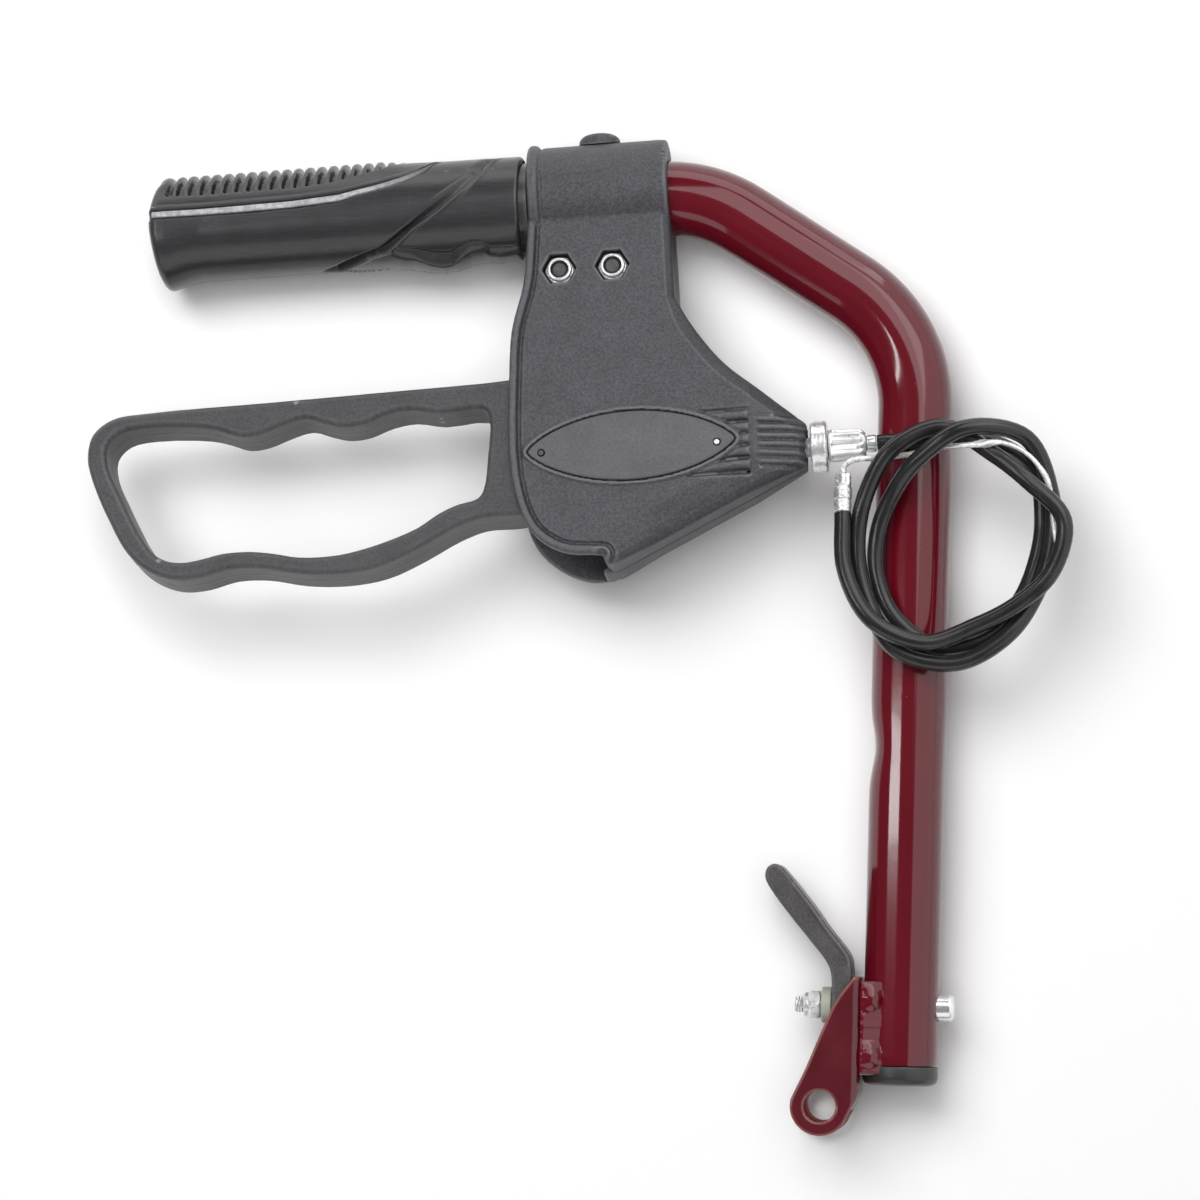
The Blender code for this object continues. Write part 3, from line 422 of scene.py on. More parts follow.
FINISHES_OF_SLOTS = {
    "burgundy_enamel": ("enamel", "rough_enamel"), "grey_moulding": ("grey", "lever", "plate", "strip"),
    "black_moulding": ("grip", "paddle", "plug"), "cable_sheath": ("sheath",), "brass": ("brass",),
    "bright_steel": ("steel", "barrel", "cast", "strands", "painted_shade_steel"), "nylon": ("nylon",),
}
SLOTS = {finish: slot for slot, finishes in FINISHES_OF_SLOTS.items() for finish in finishes}


# ---------------- pieces

def placed(points, place):
    matrix = np.array(place)
    return points @ matrix[:3, :3].T + matrix[:3, 3]


def plain_mesh(name, vertices, faces, place, turn_out):
    """An object from vertices in millimetres in one of the two frames; turn_out mends its faces' sides."""
    points = placed(np.asarray(vertices, float) * MM, place)
    mesh = bpy.data.meshes.new(name)
    mesh.from_pydata(points.tolist(), [], [list(map(int, face)) for face in faces])
    if turn_out:
        bm = bmesh.new()
        bm.from_mesh(mesh)
        bmesh.ops.recalc_face_normals(bm, faces=bm.faces)
        bm.to_mesh(mesh)
        bm.free()
    made = bpy.data.objects.new(name, mesh)
    bpy.context.scene.collection.objects.link(made)
    return made


def add(name, vertices, faces, place, finish, nodes=(), body="frame", sharp=40.0, turn_out=False):
    """A shaded piece with its finish, on its body, in place of its CAD nodes."""
    piece = plain_mesh(name, vertices, faces, place, turn_out)
    shade_round(piece, sharp)
    piece.data.materials.append(materials[finish])
    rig.slot(piece, SLOTS[finish])
    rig.ride(piece, body)
    if nodes:
        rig.replaces(piece, *nodes)
    return piece


def shade_round(piece, sharp):
    piece.data.shade_smooth()
    piece.data.set_sharp_from_angle(angle=radians(sharp))


def wrap(name, rows, place, finish, nodes=(), body="frame", closed=False, sharp=40.0):
    """Add a tube of rings."""
    vertices, faces = skin(rows, closed)
    return add(name, vertices, faces, place, finish, nodes, body, sharp, turn_out=True)


def carve(name, field, low, high, step, place, finish, nodes, body="frame", sharp=70.0):
    """Add a field's zero level, found between two corners."""
    vertices, faces = surface_net(field, low, high, step)
    return add(name, vertices, faces, place, finish, nodes, body, sharp)


def skin(rows, closed=False):
    """Vertices and faces of a tube of rings; it ends in flat caps, or joins its first ring again."""
    rows = np.asarray(rows, float)
    count, sides = rows.shape[:2]
    index = np.arange(count * sides).reshape(count, sides)
    first = index if closed else index[:-1]
    second = np.roll(index, -1, 0) if closed else index[1:]
    quads = np.stack([first, np.roll(first, -1, 1), np.roll(second, -1, 1), second], -1).reshape(-1, 4)
    faces = quads.tolist()
    if not closed:
        faces += [index[0][::-1].tolist(), index[-1].tolist()]
    return rows.reshape(-1, 3), faces


def turned_rows(profile, sides=64, ripple=None):
    """Rings about the X axis from (place, radius) pairs; ripple changes the radius at (x, angle)."""
    angle = np.arange(sides) * 2 * pi / sides
    x, radius = (np.array(column, float)[:, None] for column in zip(*profile))
    x = x + 0 * angle
    radius = radius + 0 * angle
    if ripple:
        radius = ripple(x, angle[None, :], radius)
    return np.stack([x, radius * np.cos(angle), radius * np.sin(angle)], -1)


def moved(rows, axis="X", centre=(0, 0, 0)):
    """Turn rings about the X axis so that they lie along this axis, and move them."""
    order = {"X": [0, 1, 2], "Y": [2, 0, 1]}[axis]
    return rows[..., order] + np.array(centre, float)


def dense(profile, step):
    """The same profile with points no further apart than this."""
    made = [profile[0]]
    for (x0, r0), (x1, r1) in zip(profile, profile[1:]):
        parts = max(1, ceil(hypot(x1 - x0, r1 - r0) / step))
        made += [(x0 + (x1 - x0) * i / parts, r0 + (r1 - r0) * i / parts) for i in range(1, parts + 1)]
    return made


def softened(profile, radius, steps=4):
    """Round each inner corner of a profile with a small arc-like run."""
    made = [profile[0]]
    for before, corner, after in zip(profile, profile[1:], profile[2:]):
        before, corner, after = Vector(before), Vector(corner), Vector(after)
        reach = min(radius, (before - corner).length * 0.45, (after - corner).length * 0.45)
        start = corner + (before - corner).normalized() * reach
        end = corner + (after - corner).normalized() * reach
        for i in range(steps + 1):
            t = i / steps
            made.append(tuple(start * (1 - t) ** 2 + corner * 2 * t * (1 - t) + end * t ** 2))
    return made + [profile[-1]]


# ---------------- outlines

def smooth_run(points, steps=4):
    """A smooth open curve through the points, with this many pieces for each span."""
    points = [Vector(p) for p in points]
    chain = [points[0] * 2 - points[1]] + points + [points[-1] * 2 - points[-2]]
    curve = []
    for before, start, end, after in zip(chain, chain[1:], chain[2:], chain[3:]):
        back = sqrt((start - before).length)
        span = sqrt((end - start).length)
        ahead = sqrt((after - end).length)
        chord = end - start
        leave = (start - before) * (span / back) - (end - before) * (span / (back + span)) + chord
        arrive = chord - (after - start) * (span / (span + ahead)) + (after - end) * (span / ahead)
        for step in range(steps):
            t = step / steps
            square = 3 * chord - 2 * leave - arrive
            cube = leave + arrive - 2 * chord
            curve.append(start + leave * t + square * t ** 2 + cube * t ** 3)
    curve.append(points[-1])
    return curve


def smooth_loop(points, steps=4):
    count = len(points)
    wrapped = [points[(i - 1) % count] for i in range(count + 3)]
    return smooth_run(wrapped, steps)[steps:-steps - 1]


def polygon(centre, radius, sides):
    return [(centre[0] + radius * cos(2 * pi * i / sides),
             centre[1] + radius * sin(2 * pi * i / sides)) for i in range(sides)]


# ---------------- distance fields

both, either = np.maximum, np.minimum  # where both fields hold, or either one


def run_distance(x, y, points):
    """Distance to an open run of points on a grid."""
    best = None
    for (ax, ay), (bx, by) in zip(points, points[1:]):
        ex, ey = bx - ax, by - ay
        share = np.clip(((x - ax) * ex + (y - ay) * ey) / (ex * ex + ey * ey), 0, 1)
        square = (x - ax - ex * share) ** 2 + (y - ay - ey * share) ** 2
        best = square if best is None else either(best, square)
    return np.sqrt(best)


def outline_distance(x, y, outline):
    """Distance to a closed outline, negative inside it."""
    points = list(outline) + [outline[0]]
    inside = np.zeros(np.broadcast_shapes(x.shape, y.shape), bool)
    for (ax, ay), (bx, by) in zip(points, points[1:]):
        if ay != by:
            spans = (y >= min(ay, by)) & (y < max(ay, by))
            inside ^= spans & (x < ax + (y - ay) / (by - ay) * (bx - ax))
    return np.where(inside, -1.0, 1.0) * run_distance(x, y, points)


def rounded(first, second, radius):
    """Where two fields both hold, with their edge rounded to this radius."""
    a, b = first + radius, second + radius
    return either(both(a, b), 0) + np.hypot(both(a, 0), both(b, 0)) - radius


def merged(first, second, radius):
    """Where either field holds, with a soft fillet."""
    near = both(radius - np.abs(first - second), 0) / radius
    return either(first, second) - near * near * radius / 4


def between(value, low, high):
    return both(low - value, value - high)


def half_round(distance, half):
    return np.sqrt(np.clip(1 - (distance / half) ** 2, 0, 1))


def bell(distance, width):
    return np.exp(-(distance / width) ** 2)


def ramp(value, start, end):
    share = np.clip((value - start) / (end - start), 0, 1)
    return share * share * (3 - 2 * share)


def surface_net(field, low, high, step):
    """Vertices and quads of a field's zero level, with one vertex in each cell that it crosses."""
    low = np.array(low, float)
    size = [int(ceil((b - a) / step)) + 1 for a, b in zip(low, high)]
    x, y, z = (low[i] + np.arange(size[i]) * step for i in range(3))
    value = np.broadcast_to(field(x[:, None, None], y[None, :, None], z[None, None, :]), size)
    inside = value < 0
    cells = [n - 1 for n in size]
    total = np.zeros((4, cells[0] * cells[1] * cells[2]))
    quads = []
    for axis in range(3):
        u, v = (axis + 1) % 3, (axis + 2) % 3
        here = [slice(None)] * 3
        there = [slice(None)] * 3
        here[axis], there[axis] = slice(0, -1), slice(1, None)
        here, there = tuple(here), tuple(there)
        crossed = np.argwhere(inside[here] != inside[there])
        start = value[here][tuple(crossed.T)]
        end = value[there][tuple(crossed.T)]
        spot = crossed.astype(float)
        spot[:, axis] += start / (start - end)
        corners = []
        for du, dv in ((0, 0), (-1, 0), (-1, -1), (0, -1)):
            cell = crossed.copy()
            cell[:, u] += du
            cell[:, v] += dv
            flat = np.ravel_multi_index(tuple(cell.T), cells)
            for part in range(3):
                total[part] += np.bincount(flat, spot[:, part], total.shape[1])
            total[3] += np.bincount(flat, minlength=total.shape[1])
            corners.append(flat)
        corners = np.stack(corners, -1)
        flip = start >= 0
        corners[flip] = corners[flip][:, ::-1]
        quads.append(corners)
    used = total[3] > 0
    number = np.cumsum(used) - 1
    vertices = low + (total[:3, used] / total[3, used]).T * step
    return vertices, number[np.concatenate(quads)]


# ---------------- tube, grip and plug

def bend(corner, before, after, steps):
    turn = acos(max(-1.0, min(1.0, before.dot(after))))
    start = corner - before * (BEND_R * tan(turn / 2))
    side = 1.0 if before.x * after.y - before.y * after.x > 0 else -1.0
    centre = start + Vector((-before.y, before.x)) * side * BEND_R
    return [centre + Matrix.Rotation(side * turn * i / steps, 2) @ (start - centre) for i in range(steps + 1)]


def tube_rings():
    corner, top = Vector(GRIP_CORNER), Vector(LEG_TOP)
    middle = (corner - top).normalized()
    points = [Vector((0.0, y)) for y in np.arange(0.0, 180.0, 1.5)]
    points += bend(top, Vector((0.0, 1.0)), middle, 32) + bend(corner, middle, -along_grip, 24)
    points.append(corner - along_grip * GRIP_LENGTH)
    angle = np.arange(96) * 2 * pi / 96
    rings = {"outer": [], "inner": []}
    for i, point in enumerate(points):
        along = (points[min(i + 1, len(points) - 1)] - points[max(i - 1, 0)]).normalized()
        across = Vector((-along.y, along.x))
        lip = 0.35 * bell(point.y, 0.6) if i < 4 else 0.0
        for key, radius in (("outer", TUBE_R - lip), ("inner", TUBE_R - TUBE_WALL)):
            x = point.x + across.x * radius * np.cos(angle)
            y = point.y + across.y * radius * np.cos(angle)
            if abs(point.x) < 1.0:
                pressed = DENT[2] * bell(point.y - DENT[0], DENT[1])
                x = x + pressed * np.clip(np.cos(angle), 0, 1) ** 3
            rings[key].append(np.stack([x, y, radius * np.sin(angle)], -1))
    return rings["outer"] + rings["inner"][::-1]


def drill(piece, rows):
    """Cut a closed tube of rings, in the leg frame, out of a piece."""
    tool = plain_mesh("drill", *skin(rows), LEG, turn_out=True)
    modifier = piece.modifiers.new("drill", "BOOLEAN")
    modifier.operation = "DIFFERENCE"
    modifier.solver = "EXACT"
    modifier.object = tool
    bpy.context.view_layer.update()
    shape = piece.evaluated_get(bpy.context.evaluated_depsgraph_get())
    piece.data = bpy.data.meshes.new_from_object(shape)
    piece.modifiers.clear()
    bpy.data.objects.remove(tool, do_unlink=True)


def make_tube():
    tube = wrap("tube", tube_rings(), LEG, "enamel", ["handle_tube"], closed=True, sharp=35)
    for radius, low, high in ((4.3, 4.0, 20.0), (2.8, -20.0, -4.0)):
        drill(tube, moved(turned_rows([(low, radius), (high, radius)], 40), centre=PIN_CENTRE))
    shade_round(tube, 35)


RIB_PITCH = 3.56
FIRST_RIB = -126.0
RIBS = 20


def line(value, *pairs):
    """A straight run between (place, value) pairs."""
    places, values = zip(*sorted(pairs))
    return np.interp(value, places, values)


def strip_top(x):
    return line(x, (-133, 79), (-106, 77.6), (-91, 76.8), (-77, 72.8), (-66, 64.7), (-59.7, 56.8),
                (-53.6, 45.6), (-46.6, 18))


def strip_bottom(x):
    return line(x, (-133, 89.0), (-106, 89.0), (-91, 87.9), (-77, 84.3), (-72, 78.2), (-63.8, 71.6),
                (-57.5, 64.7), (-51.3, 51.5), (-46.2, 18))


def grip_base(x, t):
    """The grip's radius without its ribs and channels, t degrees round from its top."""
    top = line(x, (-134, 17.2), (-65, 17.2), (-58, 16.3), (-47, 15.9), (-34, 15.8), (-22, 15.6))
    bottom = line(x, (-134, 16.8), (-131, 17.1), (-128, 16.3), (-125, 15.5), (-121, 15.0), (-22, 15.0))
    front = line(x, (-134, 16.0), (-130, 16.0), (-120, 15.4), (-22, 15.4))
    turn = np.radians(t)
    return front + np.where(t < 90, top - front, bottom - front) * np.cos(turn) ** 2


def grip_radius(x, t):
    radius = grip_base(x, t)
    slant = x + 1.3 * t / 60
    number = (slant - FIRST_RIB) / RIB_PITCH
    slot = ramp(0.5 - 0.5 * np.cos(2 * pi * number), 0.12, 0.62)
    slot *= ramp(number, 0.0, 0.1) * ramp(number, RIBS + 0.0, RIBS - 0.1)
    first = bell(slant - FIRST_RIB + RIB_PITCH / 2, 0.95)
    end = line(x, (-134, 63), (-90, 63), (-79, 58), (-72, 50.5), (-65, 43), (-61.6, 31), (-57, 20))
    reach = ramp(end - t, 0.0, 5.0)
    radius = radius - (2.0 * slot + 1.9 * first) * reach
    low, high = strip_top(x), strip_bottom(x)
    middle, half = (low + high) / 2, (high - low) / 2
    radius -= 1.1 * ramp(half - np.abs(t - middle), -0.6, 0.3) * ramp(x, -46.0, -48.5)
    radius += 0.30 * bell(t - low + 2.6, 1.3) * ramp(x, -50, -60)
    left = line(t, (18, -33.9), (54, -38.6), (75, -44.7), (95, -51.2), (116, -57.9), (134, -64.4),
                (142, -67.2), (148, -72.6), (159, -78.6), (180, -86))
    right = line(t, (18, -28.6), (26, -29.8), (59, -34.3), (82, -40.5), (101, -47.1), (121.5, -56),
                 (138, -61.2), (150, -65), (158, -70.9), (172, -76.6), (180, -80))
    share = (x - left) / (right - left)
    channel = ramp(share, 0.0, 0.75) * ramp(share, 1.0, 0.88)
    radius -= 1.8 * channel * ramp(t, 12, 30)
    radius += 0.50 * bell(share - 1.12, 0.12) * ramp(t, 18, 40)
    crease = line(x, (-66, 140), (-62.3, 146), (-54.8, 149), (-49.6, 156.5), (-45.4, 158), (-42.1, 149),
                  (-38.6, 144.5), (-35.7, 146.5), (-33.5, 155), (-27.6, 156), (-24.6, 154))
    swell = line(x, (-64, 0), (-57, 0.8), (-52.5, 2.0), (-48, 2.6), (-44, 2.1), (-39.6, 0.5), (-35.5, 0.1),
                 (-31, 0.7), (-25, 0.3))
    radius += (swell + 0.35) * ramp(t - crease, 0, 13) * ramp(x, -66, -60)
    radius -= 0.35 * bell(t - crease, 2.4) * ramp(x, -66, -61) * (1 - channel)
    return radius


def grip_rows():
    degrees = np.concatenate([np.arange(0, 180, 1.25), np.arange(180, 360, 3.0)])
    t = np.where(degrees > 180, 360 - degrees, degrees)
    left = line(t, (0, -132.8), (35, -132.8), (46, -133.6), (80, -135.2), (100, -135.2), (173, -133.5),
                (180, -133.5))
    right = line(t, (0, -22.5), (180, -24.6))
    corner, small = 2.6, 1.1
    start = grip_radius(left + corner, t)
    finish = grip_radius(right - small, t)
    places, radii = [], []
    for share in (0.02, 0.3, 0.6, 0.85, 0.96):
        places.append(left * share + -135.6 * (1 - share))
        radii.append((start - corner) * share)
    for i in range(9):
        turn = pi / 2 * i / 8
        places.append(left + corner * (1 - cos(turn)))
        radii.append(start - corner * (1 - sin(turn)))
    for share in np.linspace(0, 1, 396)[1:]:
        x = (left + corner) * (1 - share) + (right - small) * share
        places.append(x)
        radii.append(grip_radius(x, t))
    for i in range(1, 6):
        turn = pi / 2 * i / 5
        places.append(right - small * (1 - sin(turn)))
        radii.append(finish - small * (1 - cos(turn)))
    bore = TUBE_R + GAP
    for x, radius in ((-23.9, 13.6), (-21.3, 13.3), (-21.2, bore + 0.2), (-24.0, bore), (-134.4, bore),
                      (-134.4, 1.0)):
        places.append(np.full(len(t), x))
        radii.append(np.full(len(t), radius))
    turn = np.radians(degrees)
    return [np.stack([x, r * np.cos(turn), r * np.sin(turn)], -1) for x, r in zip(places, radii)]


STRIP_SECTION = ((-1, -0.9), (-1, -0.25), (-0.8, -0.05), (-0.4, 0.06), (0, 0.1), (0.4, 0.06), (0.8, -0.05),
                 (1, -0.25), (1, -0.9))


def strip_rows(shift=0.0, narrow=0.66):
    """A narrow inlay in its channel, or a thin pale line beside it, drawn as rings across its length."""
    rows = []
    for x in np.arange(-133.8, -48.0, 0.7):
        low, high = float(strip_top(x)), float(strip_bottom(x))
        middle, half = (low + high) / 2 + shift, (high - low) / 2 * narrow
        ring = []
        for share, lift in STRIP_SECTION:
            t = middle + share * half
            radius = float(grip_base(x, np.array(t))) + lift
            ring.append((x, radius * cos(radians(t)), radius * sin(radians(t))))
        rows.append(ring)
    return rows


def make_grip():
    wrap("grip", grip_rows(), HOUSING, "grip", ["hand_grip"], sharp=60)
    wrap("grip_strip", strip_rows(), HOUSING, "strip", sharp=50)
    # A thin pale line above the strip, in the strip's finish: a painted highlight along the grip.
    wrap("grip_painted_highlight_line", strip_rows(-8.6, 0.12), HOUSING, "strip", sharp=50)


def make_plug():
    profile = [(-5.9, 0.3), (-5.9, 8.8), (-5.3, 10.5), (-3.9, TUBE_R), (-0.3, TUBE_R), (-0.3, 9.2),
               (8.0, 9.0), (8.0, 0.3)]

    def scuffed(x, angle, radius):
        return radius - 0.12 * (np.sin(3 * angle + 1.0) * np.sin(5 * angle)) * (x < -0.4) * (radius > 5)

    rows = moved(turned_rows(softened(profile, 0.45), 72, scuffed), "Y")
    wrap("tube_end_plug", rows, LEG, "plug", ["end_plug"])


# ---------------- housing

LEFT_EDGE = [(-20.5, -1.0), (-21.6, -14.0), (-23.1, -27.0), (-27.1, -41.0), (-28.5, -55.0), (-29.1, -86.0)]
FRONT_LIP = [(-24.3, -102.3), (-15.5, -109.4), (-3.2, -111.2)]
BACK_LIP = [(-25.0, -102.2), (-17.3, -110.2), (-9.9, -113.6), (-4.0, -114.2)]
CORNER = [(-2.6, -113.0), (-0.9, -114.0), (1.5, -113.3), (57.4, -86.6)]
HOLLOW_EDGE = [(58.0, -74.0), (46.6, -64.8), (35.1, -55.0), (26.0, -42.6), (21.4, -34.0)]
RIDGES = (-71.9, -75.6, -79.2, -82.9, -86.9)
CLAMP_ENDS = (-20.8, 21.0)
SPLIT_GAP = 0.15
EDGE_SLOPE = 0.85
LOWER_SLOPE = 0.26
NOSE_SLOPE = 0.29
NOSE_X = 41.8
PIVOT_BORE_R = 3.3
NUT_POCKET_R = 5.25
NUT_POCKET_DEPTH = 5.6
HEAD_POCKET_R = 4.9
HEAD_POCKET_DEPTH = 3.6
PLATE_PIN_R = 1.1


def plate_outline():
    """A pointed oval: two shallow arcs that meet in small rounded tips."""
    points = []
    for i in range(64):
        t = 2 * pi * i / 64
        height = abs(sin(t)) ** 1.5 * copysign(1.0, sin(t))
        points.append((PLATE_CENTRE[0] + PLATE_HALF[0] * cos(t), PLATE_CENTRE[1] + PLATE_HALF[1] * height))
    return points


def pocket_outline():
    hollow = smooth_run([(46.0, -70.5), (42.6, -68.4), (31.6, -57.8), (22.0, -44.6), (18.0, -34.8)], 4)
    return [(-21.0, -34.0), (-24.2, -45.0), (-36.0, -45.0), (-36.0, -122.0), (-4.2, -122.0), (-4.2, -112.8),
            (40.0, -91.5), (45.0, -86.5), *hollow, (17.8, -34.0)]


def face_height(x, y, left, right, front):
    """Height of the housing's face above the split plane, with everything moulded into it."""
    bottom = run_distance(x, y, CORNER[2:])
    width = 2.2 + 1.8 * ramp(y, -32, -46) * ramp(bottom, 6, 12)
    slope = np.clip(width - right, 0, 20)
    top = FACE_Z - EDGE_SLOPE * slope - 0.25 * bell(right - width - 0.3, 0.9) * ramp(y, -60, -90)
    top = top - LOWER_SLOPE * np.clip(9.0 - bottom, 0, 9) * ramp(x, 0, 16)
    top = top - NOSE_SLOPE * np.clip(x - NOSE_X, 0, 30)
    top = top + 1.0 * half_round(left - 1.3, 1.3) - 0.9 * bell(left - 3.2, 0.5)
    if not front:
        return top
    oval = outline_distance(x, y, plate_outline())
    field = ramp(oval, 1.9, 2.4) * ramp(x, 41.9, 41.0)
    field = field * ramp(y, -90.2, -89.0) * ramp(y, -69.6, -70.4) * (x > 8)
    ridges = sum(half_round(y - place - 0.028 * (x - 39.5), 1.55) for place in RIDGES)
    top = top + field * (1.7 * either(ridges, 1) - 1.2)
    top = top - 0.35 * bell(x - 42.1, 0.5) * ramp(y, -92, -90) * ramp(y, -69, -70)
    flutes = 1.4 * np.abs(np.cos(pi * (y + 78.3) / 2.55)) - 1.0
    top = top + 0.85 * flutes * ramp(x, 43.0, 45.0) * ramp(y, -88.5, -87) * ramp(y, -71, -73)
    top = top + 0.55 * half_round(oval - 0.95, 0.65) * (oval > 0)
    top = np.where(oval < 0.3, FACE_Z - 0.8, top)
    return top


def hole(centre, x, y, radius):
    return np.hypot(x - centre[0], y - centre[1]) - radius


def housing_holes(x, y, z, height, front):
    """Fields of everything that is cut out of one half of the housing."""
    yield both(outline_distance(x, y, pocket_outline()), height - FACE_Z + WALL)
    yield np.hypot(y, z) - (TUBE_R + GAP)
    yield both(np.hypot(x - CAP_X, z) - 2.9, between(y, 10.0, 20.0))
    yield both(hole(PIVOT, x, y, PIVOT_BORE_R), height - 11.8)
    for bolt in BOLTS:
        yield hole(bolt, x, y, BOLT_R + GAP)
        if front:
            pocket = outline_distance(x, y, polygon(bolt, NUT_POCKET_R, 6))
            yield both(pocket, FACE_Z - NUT_POCKET_DEPTH - height)
        else:
            yield both(hole(bolt, x, y, HEAD_POCKET_R), FACE_Z - HEAD_POCKET_DEPTH - height)
    reach = np.hypot(y - ADJUSTER_Y, z)
    yield both(reach - 3.3, 42.0 - x)
    yield both(reach - 5.0, 56.9 - x)
    yield both(between(x, 49.7, 54.9), both(np.abs(y - ADJUSTER_Y), np.abs(z)) - 5.3)
    if front:
        for pin in PLATE_PINS:
            yield both(hole(pin, x, y, PLATE_PIN_R), 8.0 - height)


def housing_field(front):
    side = 1 if front else -1
    left_run = smooth_run(LEFT_EDGE + (FRONT_LIP if front else BACK_LIP), 4)
    hollow_run = smooth_run(HOLLOW_EDGE, 6)
    right_run = [left_run[-1]] + (CORNER if front else CORNER[1:]) + hollow_run + [(21.0, -1.0)]
    outline = left_run + right_run[1:]

    def field(x, y, z):
        height = z * side
        outer = outline_distance(x, y, outline) + 0.40 * bell(height, 0.45)
        left = run_distance(x, y, left_run)
        right = run_distance(x, y, right_run)
        top = face_height(x, y, left, right, front)
        body = both(rounded(outer, height - top, 0.7), y + 1.0)
        bulge = CLAMP_R + 1.0 * half_round(x + 19.1, 1.75) - 0.45 * bell(x + 16.9, 0.5) + 0 * y
        bulge = bulge - 0.5 * bell(np.hypot(x - 18.9, y), 0.6)
        chips = np.abs(np.sin(2.3 * y) * np.sin(1.1 * y + z))
        bulge = bulge - 0.7 * chips * ramp(x, 19.0, 20.2) * ramp(y, 5, 9)
        clamp = rounded(np.hypot(y - CLAMP_Y, z) - bulge, between(x, *CLAMP_ENDS), 0.9)
        solid = both(merged(body, clamp, 0.35), SPLIT_GAP - height)
        for cut in housing_holes(x, y, z, height, front):
            solid = both(solid, -cut)
        return solid

    return field


def make_housing():
    for name, front in (("housing_front", True), ("housing_back", False)):
        low, high = (-0.5, 18.0) if front else (-18.0, 0.5)
        carve("moulded_" + name, housing_field(front), (-31.0, -118.0, low), (60.5, 19.5, high), 0.5, HOUSING,
              "grey", [name])


def make_plate():
    def field(x, y, z):
        oval = outline_distance(x, y, plate_outline())
        top = FACE_Z + 0.35 + 0.3 * ramp(-oval, 0, 6)
        solid = rounded(oval, both(z - top, FACE_Z - 0.5 - z), 0.35)
        for pin in PLATE_PINS:
            solid = both(solid, -hole(pin, x, y, PLATE_PIN_R))
        return solid

    carve("oval_plate", field, (-25.5, -91.0, 11.4), (39.0, -67.0, 14.4), 0.3, HOUSING, "plate",
          ["cover_plate"])


def nut_field(x, y, z):
    """A lock nut along Z: its collar's end at 0 and its hexagon behind it."""
    sides = [np.abs(x * cos(a) + y * sin(a)) for a in (pi / 2, pi / 6, -pi / 6)]
    hexagon = both(both(sides[0], sides[1]), sides[2]) - NUT_FLATS / 2
    away = np.hypot(x, y)
    chamfer = (away + np.abs(z + NUT_HEIGHT / 2 + 0.8) - NUT_FLATS * 0.577 - NUT_HEIGHT / 2 + 1.5) * 0.707
    body = both(both(hexagon, between(z, -NUT_HEIGHT, -1.6)), chamfer)
    ring = rounded(away - NUT_COLLAR_R, between(z, -2.0, 0.0), 0.5)
    return both(either(body, ring), BOLT_R + 0.2 - away)


def make_nuts():
    vertices, faces = surface_net(nut_field, (-5.5, -5.5, -5.8), (5.5, 5.5, 0.8), 0.2)
    for side, bolt in zip(("left", "right"), BOLTS):
        add(f"lock_nut_{side}", vertices + np.array((*bolt, FACE_Z - GAP)), faces, HOUSING, "cast",
            [f"clamp_nut_{side}"], sharp=50)
    turned = vertices[:, [2, 1, 0]] * np.array((-1, 1, 1)) + np.array((-28.8, PIN_Y, 0))
    add("stud_nut", turned, faces, LEG, "cast", ["lock_pin_nut"], "pin", sharp=50, turn_out=True)


CAP_R = 6.2
CAP_TOP = 20.5
SPIGOT_R = 2.5


def make_cap():
    def field(x, y, z):
        away = np.hypot(x - CAP_X, z)
        dome = rounded(away - CAP_R, y - CAP_TOP, 2.0)
        dome = both(dome, CLAMP_R + GAP - np.hypot(y - CLAMP_Y, z))
        return either(dome, both(away - SPIGOT_R, between(y, 12.0, 19.0)))

    carve("button_cap", field, (-7.0, 11.5, -7.5), (7.6, 22.0, 7.5), 0.25, HOUSING, "grey", ["locating_cap"],
          sharp=60)


# ---------------- brake lever

LEVER_BORE_R = 5.2
NIPPLE = (4.0, ADJUSTER_Y)
NIPPLE_BORE_R = 3.8
LEVER_EDGE = (
    (-30.0, -55.4), (-60.0, -56.2), (-100.0, -57.0), (-138.0, -57.7),
    (-148.3, -58.8), (-154.5, -63.2), (-156.3, -70.5), (-154.4, -79.2), (-149.8, -90.8), (-145.2, -99.8),
    (-139.3, -105.8), (-131.5, -109.2), (-123.5, -109.2), (-114.5, -107.2), (-105.0, -107.5), (-93.5, -110.0),
    (-81.0, -110.8), (-69.0, -109.3), (-57.8, -104.8), (-47.0, -99.4), (-39.0, -96.9), (-29.0, -96.8),
    (-16.0, -95.0), (-4.0, -90.5), (5.0, -87.2), (11.2, -83.0), (11.6, -76.5), (12.2, -68.0), (13.4, -60.0),
    (10.0, -52.8), (2.0, -50.4), (-10.0, -53.2),
)
WINDOW_EDGE = (
    (-37.5, -63.6), (-50.5, -64.0), (-59.0, -62.4), (-66.5, -63.4), (-73.0, -65.7), (-79.2, -66.2),
    (-84.8, -64.7), (-90.5, -62.8), (-98.0, -64.6), (-103.8, -66.6), (-109.8, -67.1), (-115.5, -65.0),
    (-121.5, -63.3), (-138.0, -62.2),
    (-146.1, -63.4), (-150.1, -67.4), (-150.1, -73.4), (-147.3, -80.9), (-138.2, -99.6),
    (-133.4, -103.3), (-127.7, -104.2), (-122.0, -103.4), (-116.3, -102.3), (-108.5, -102.2),
    (-101.1, -103.3), (-93.3, -105.0), (-83.8, -105.2), (-77.2, -104.4), (-67.6, -102.0), (-58.0, -98.5),
    (-51.3, -94.5), (-45.6, -92.2), (-40.2, -91.0), (-38.0, -88.6), (-36.2, -78.0), (-35.4, -66.0),
)


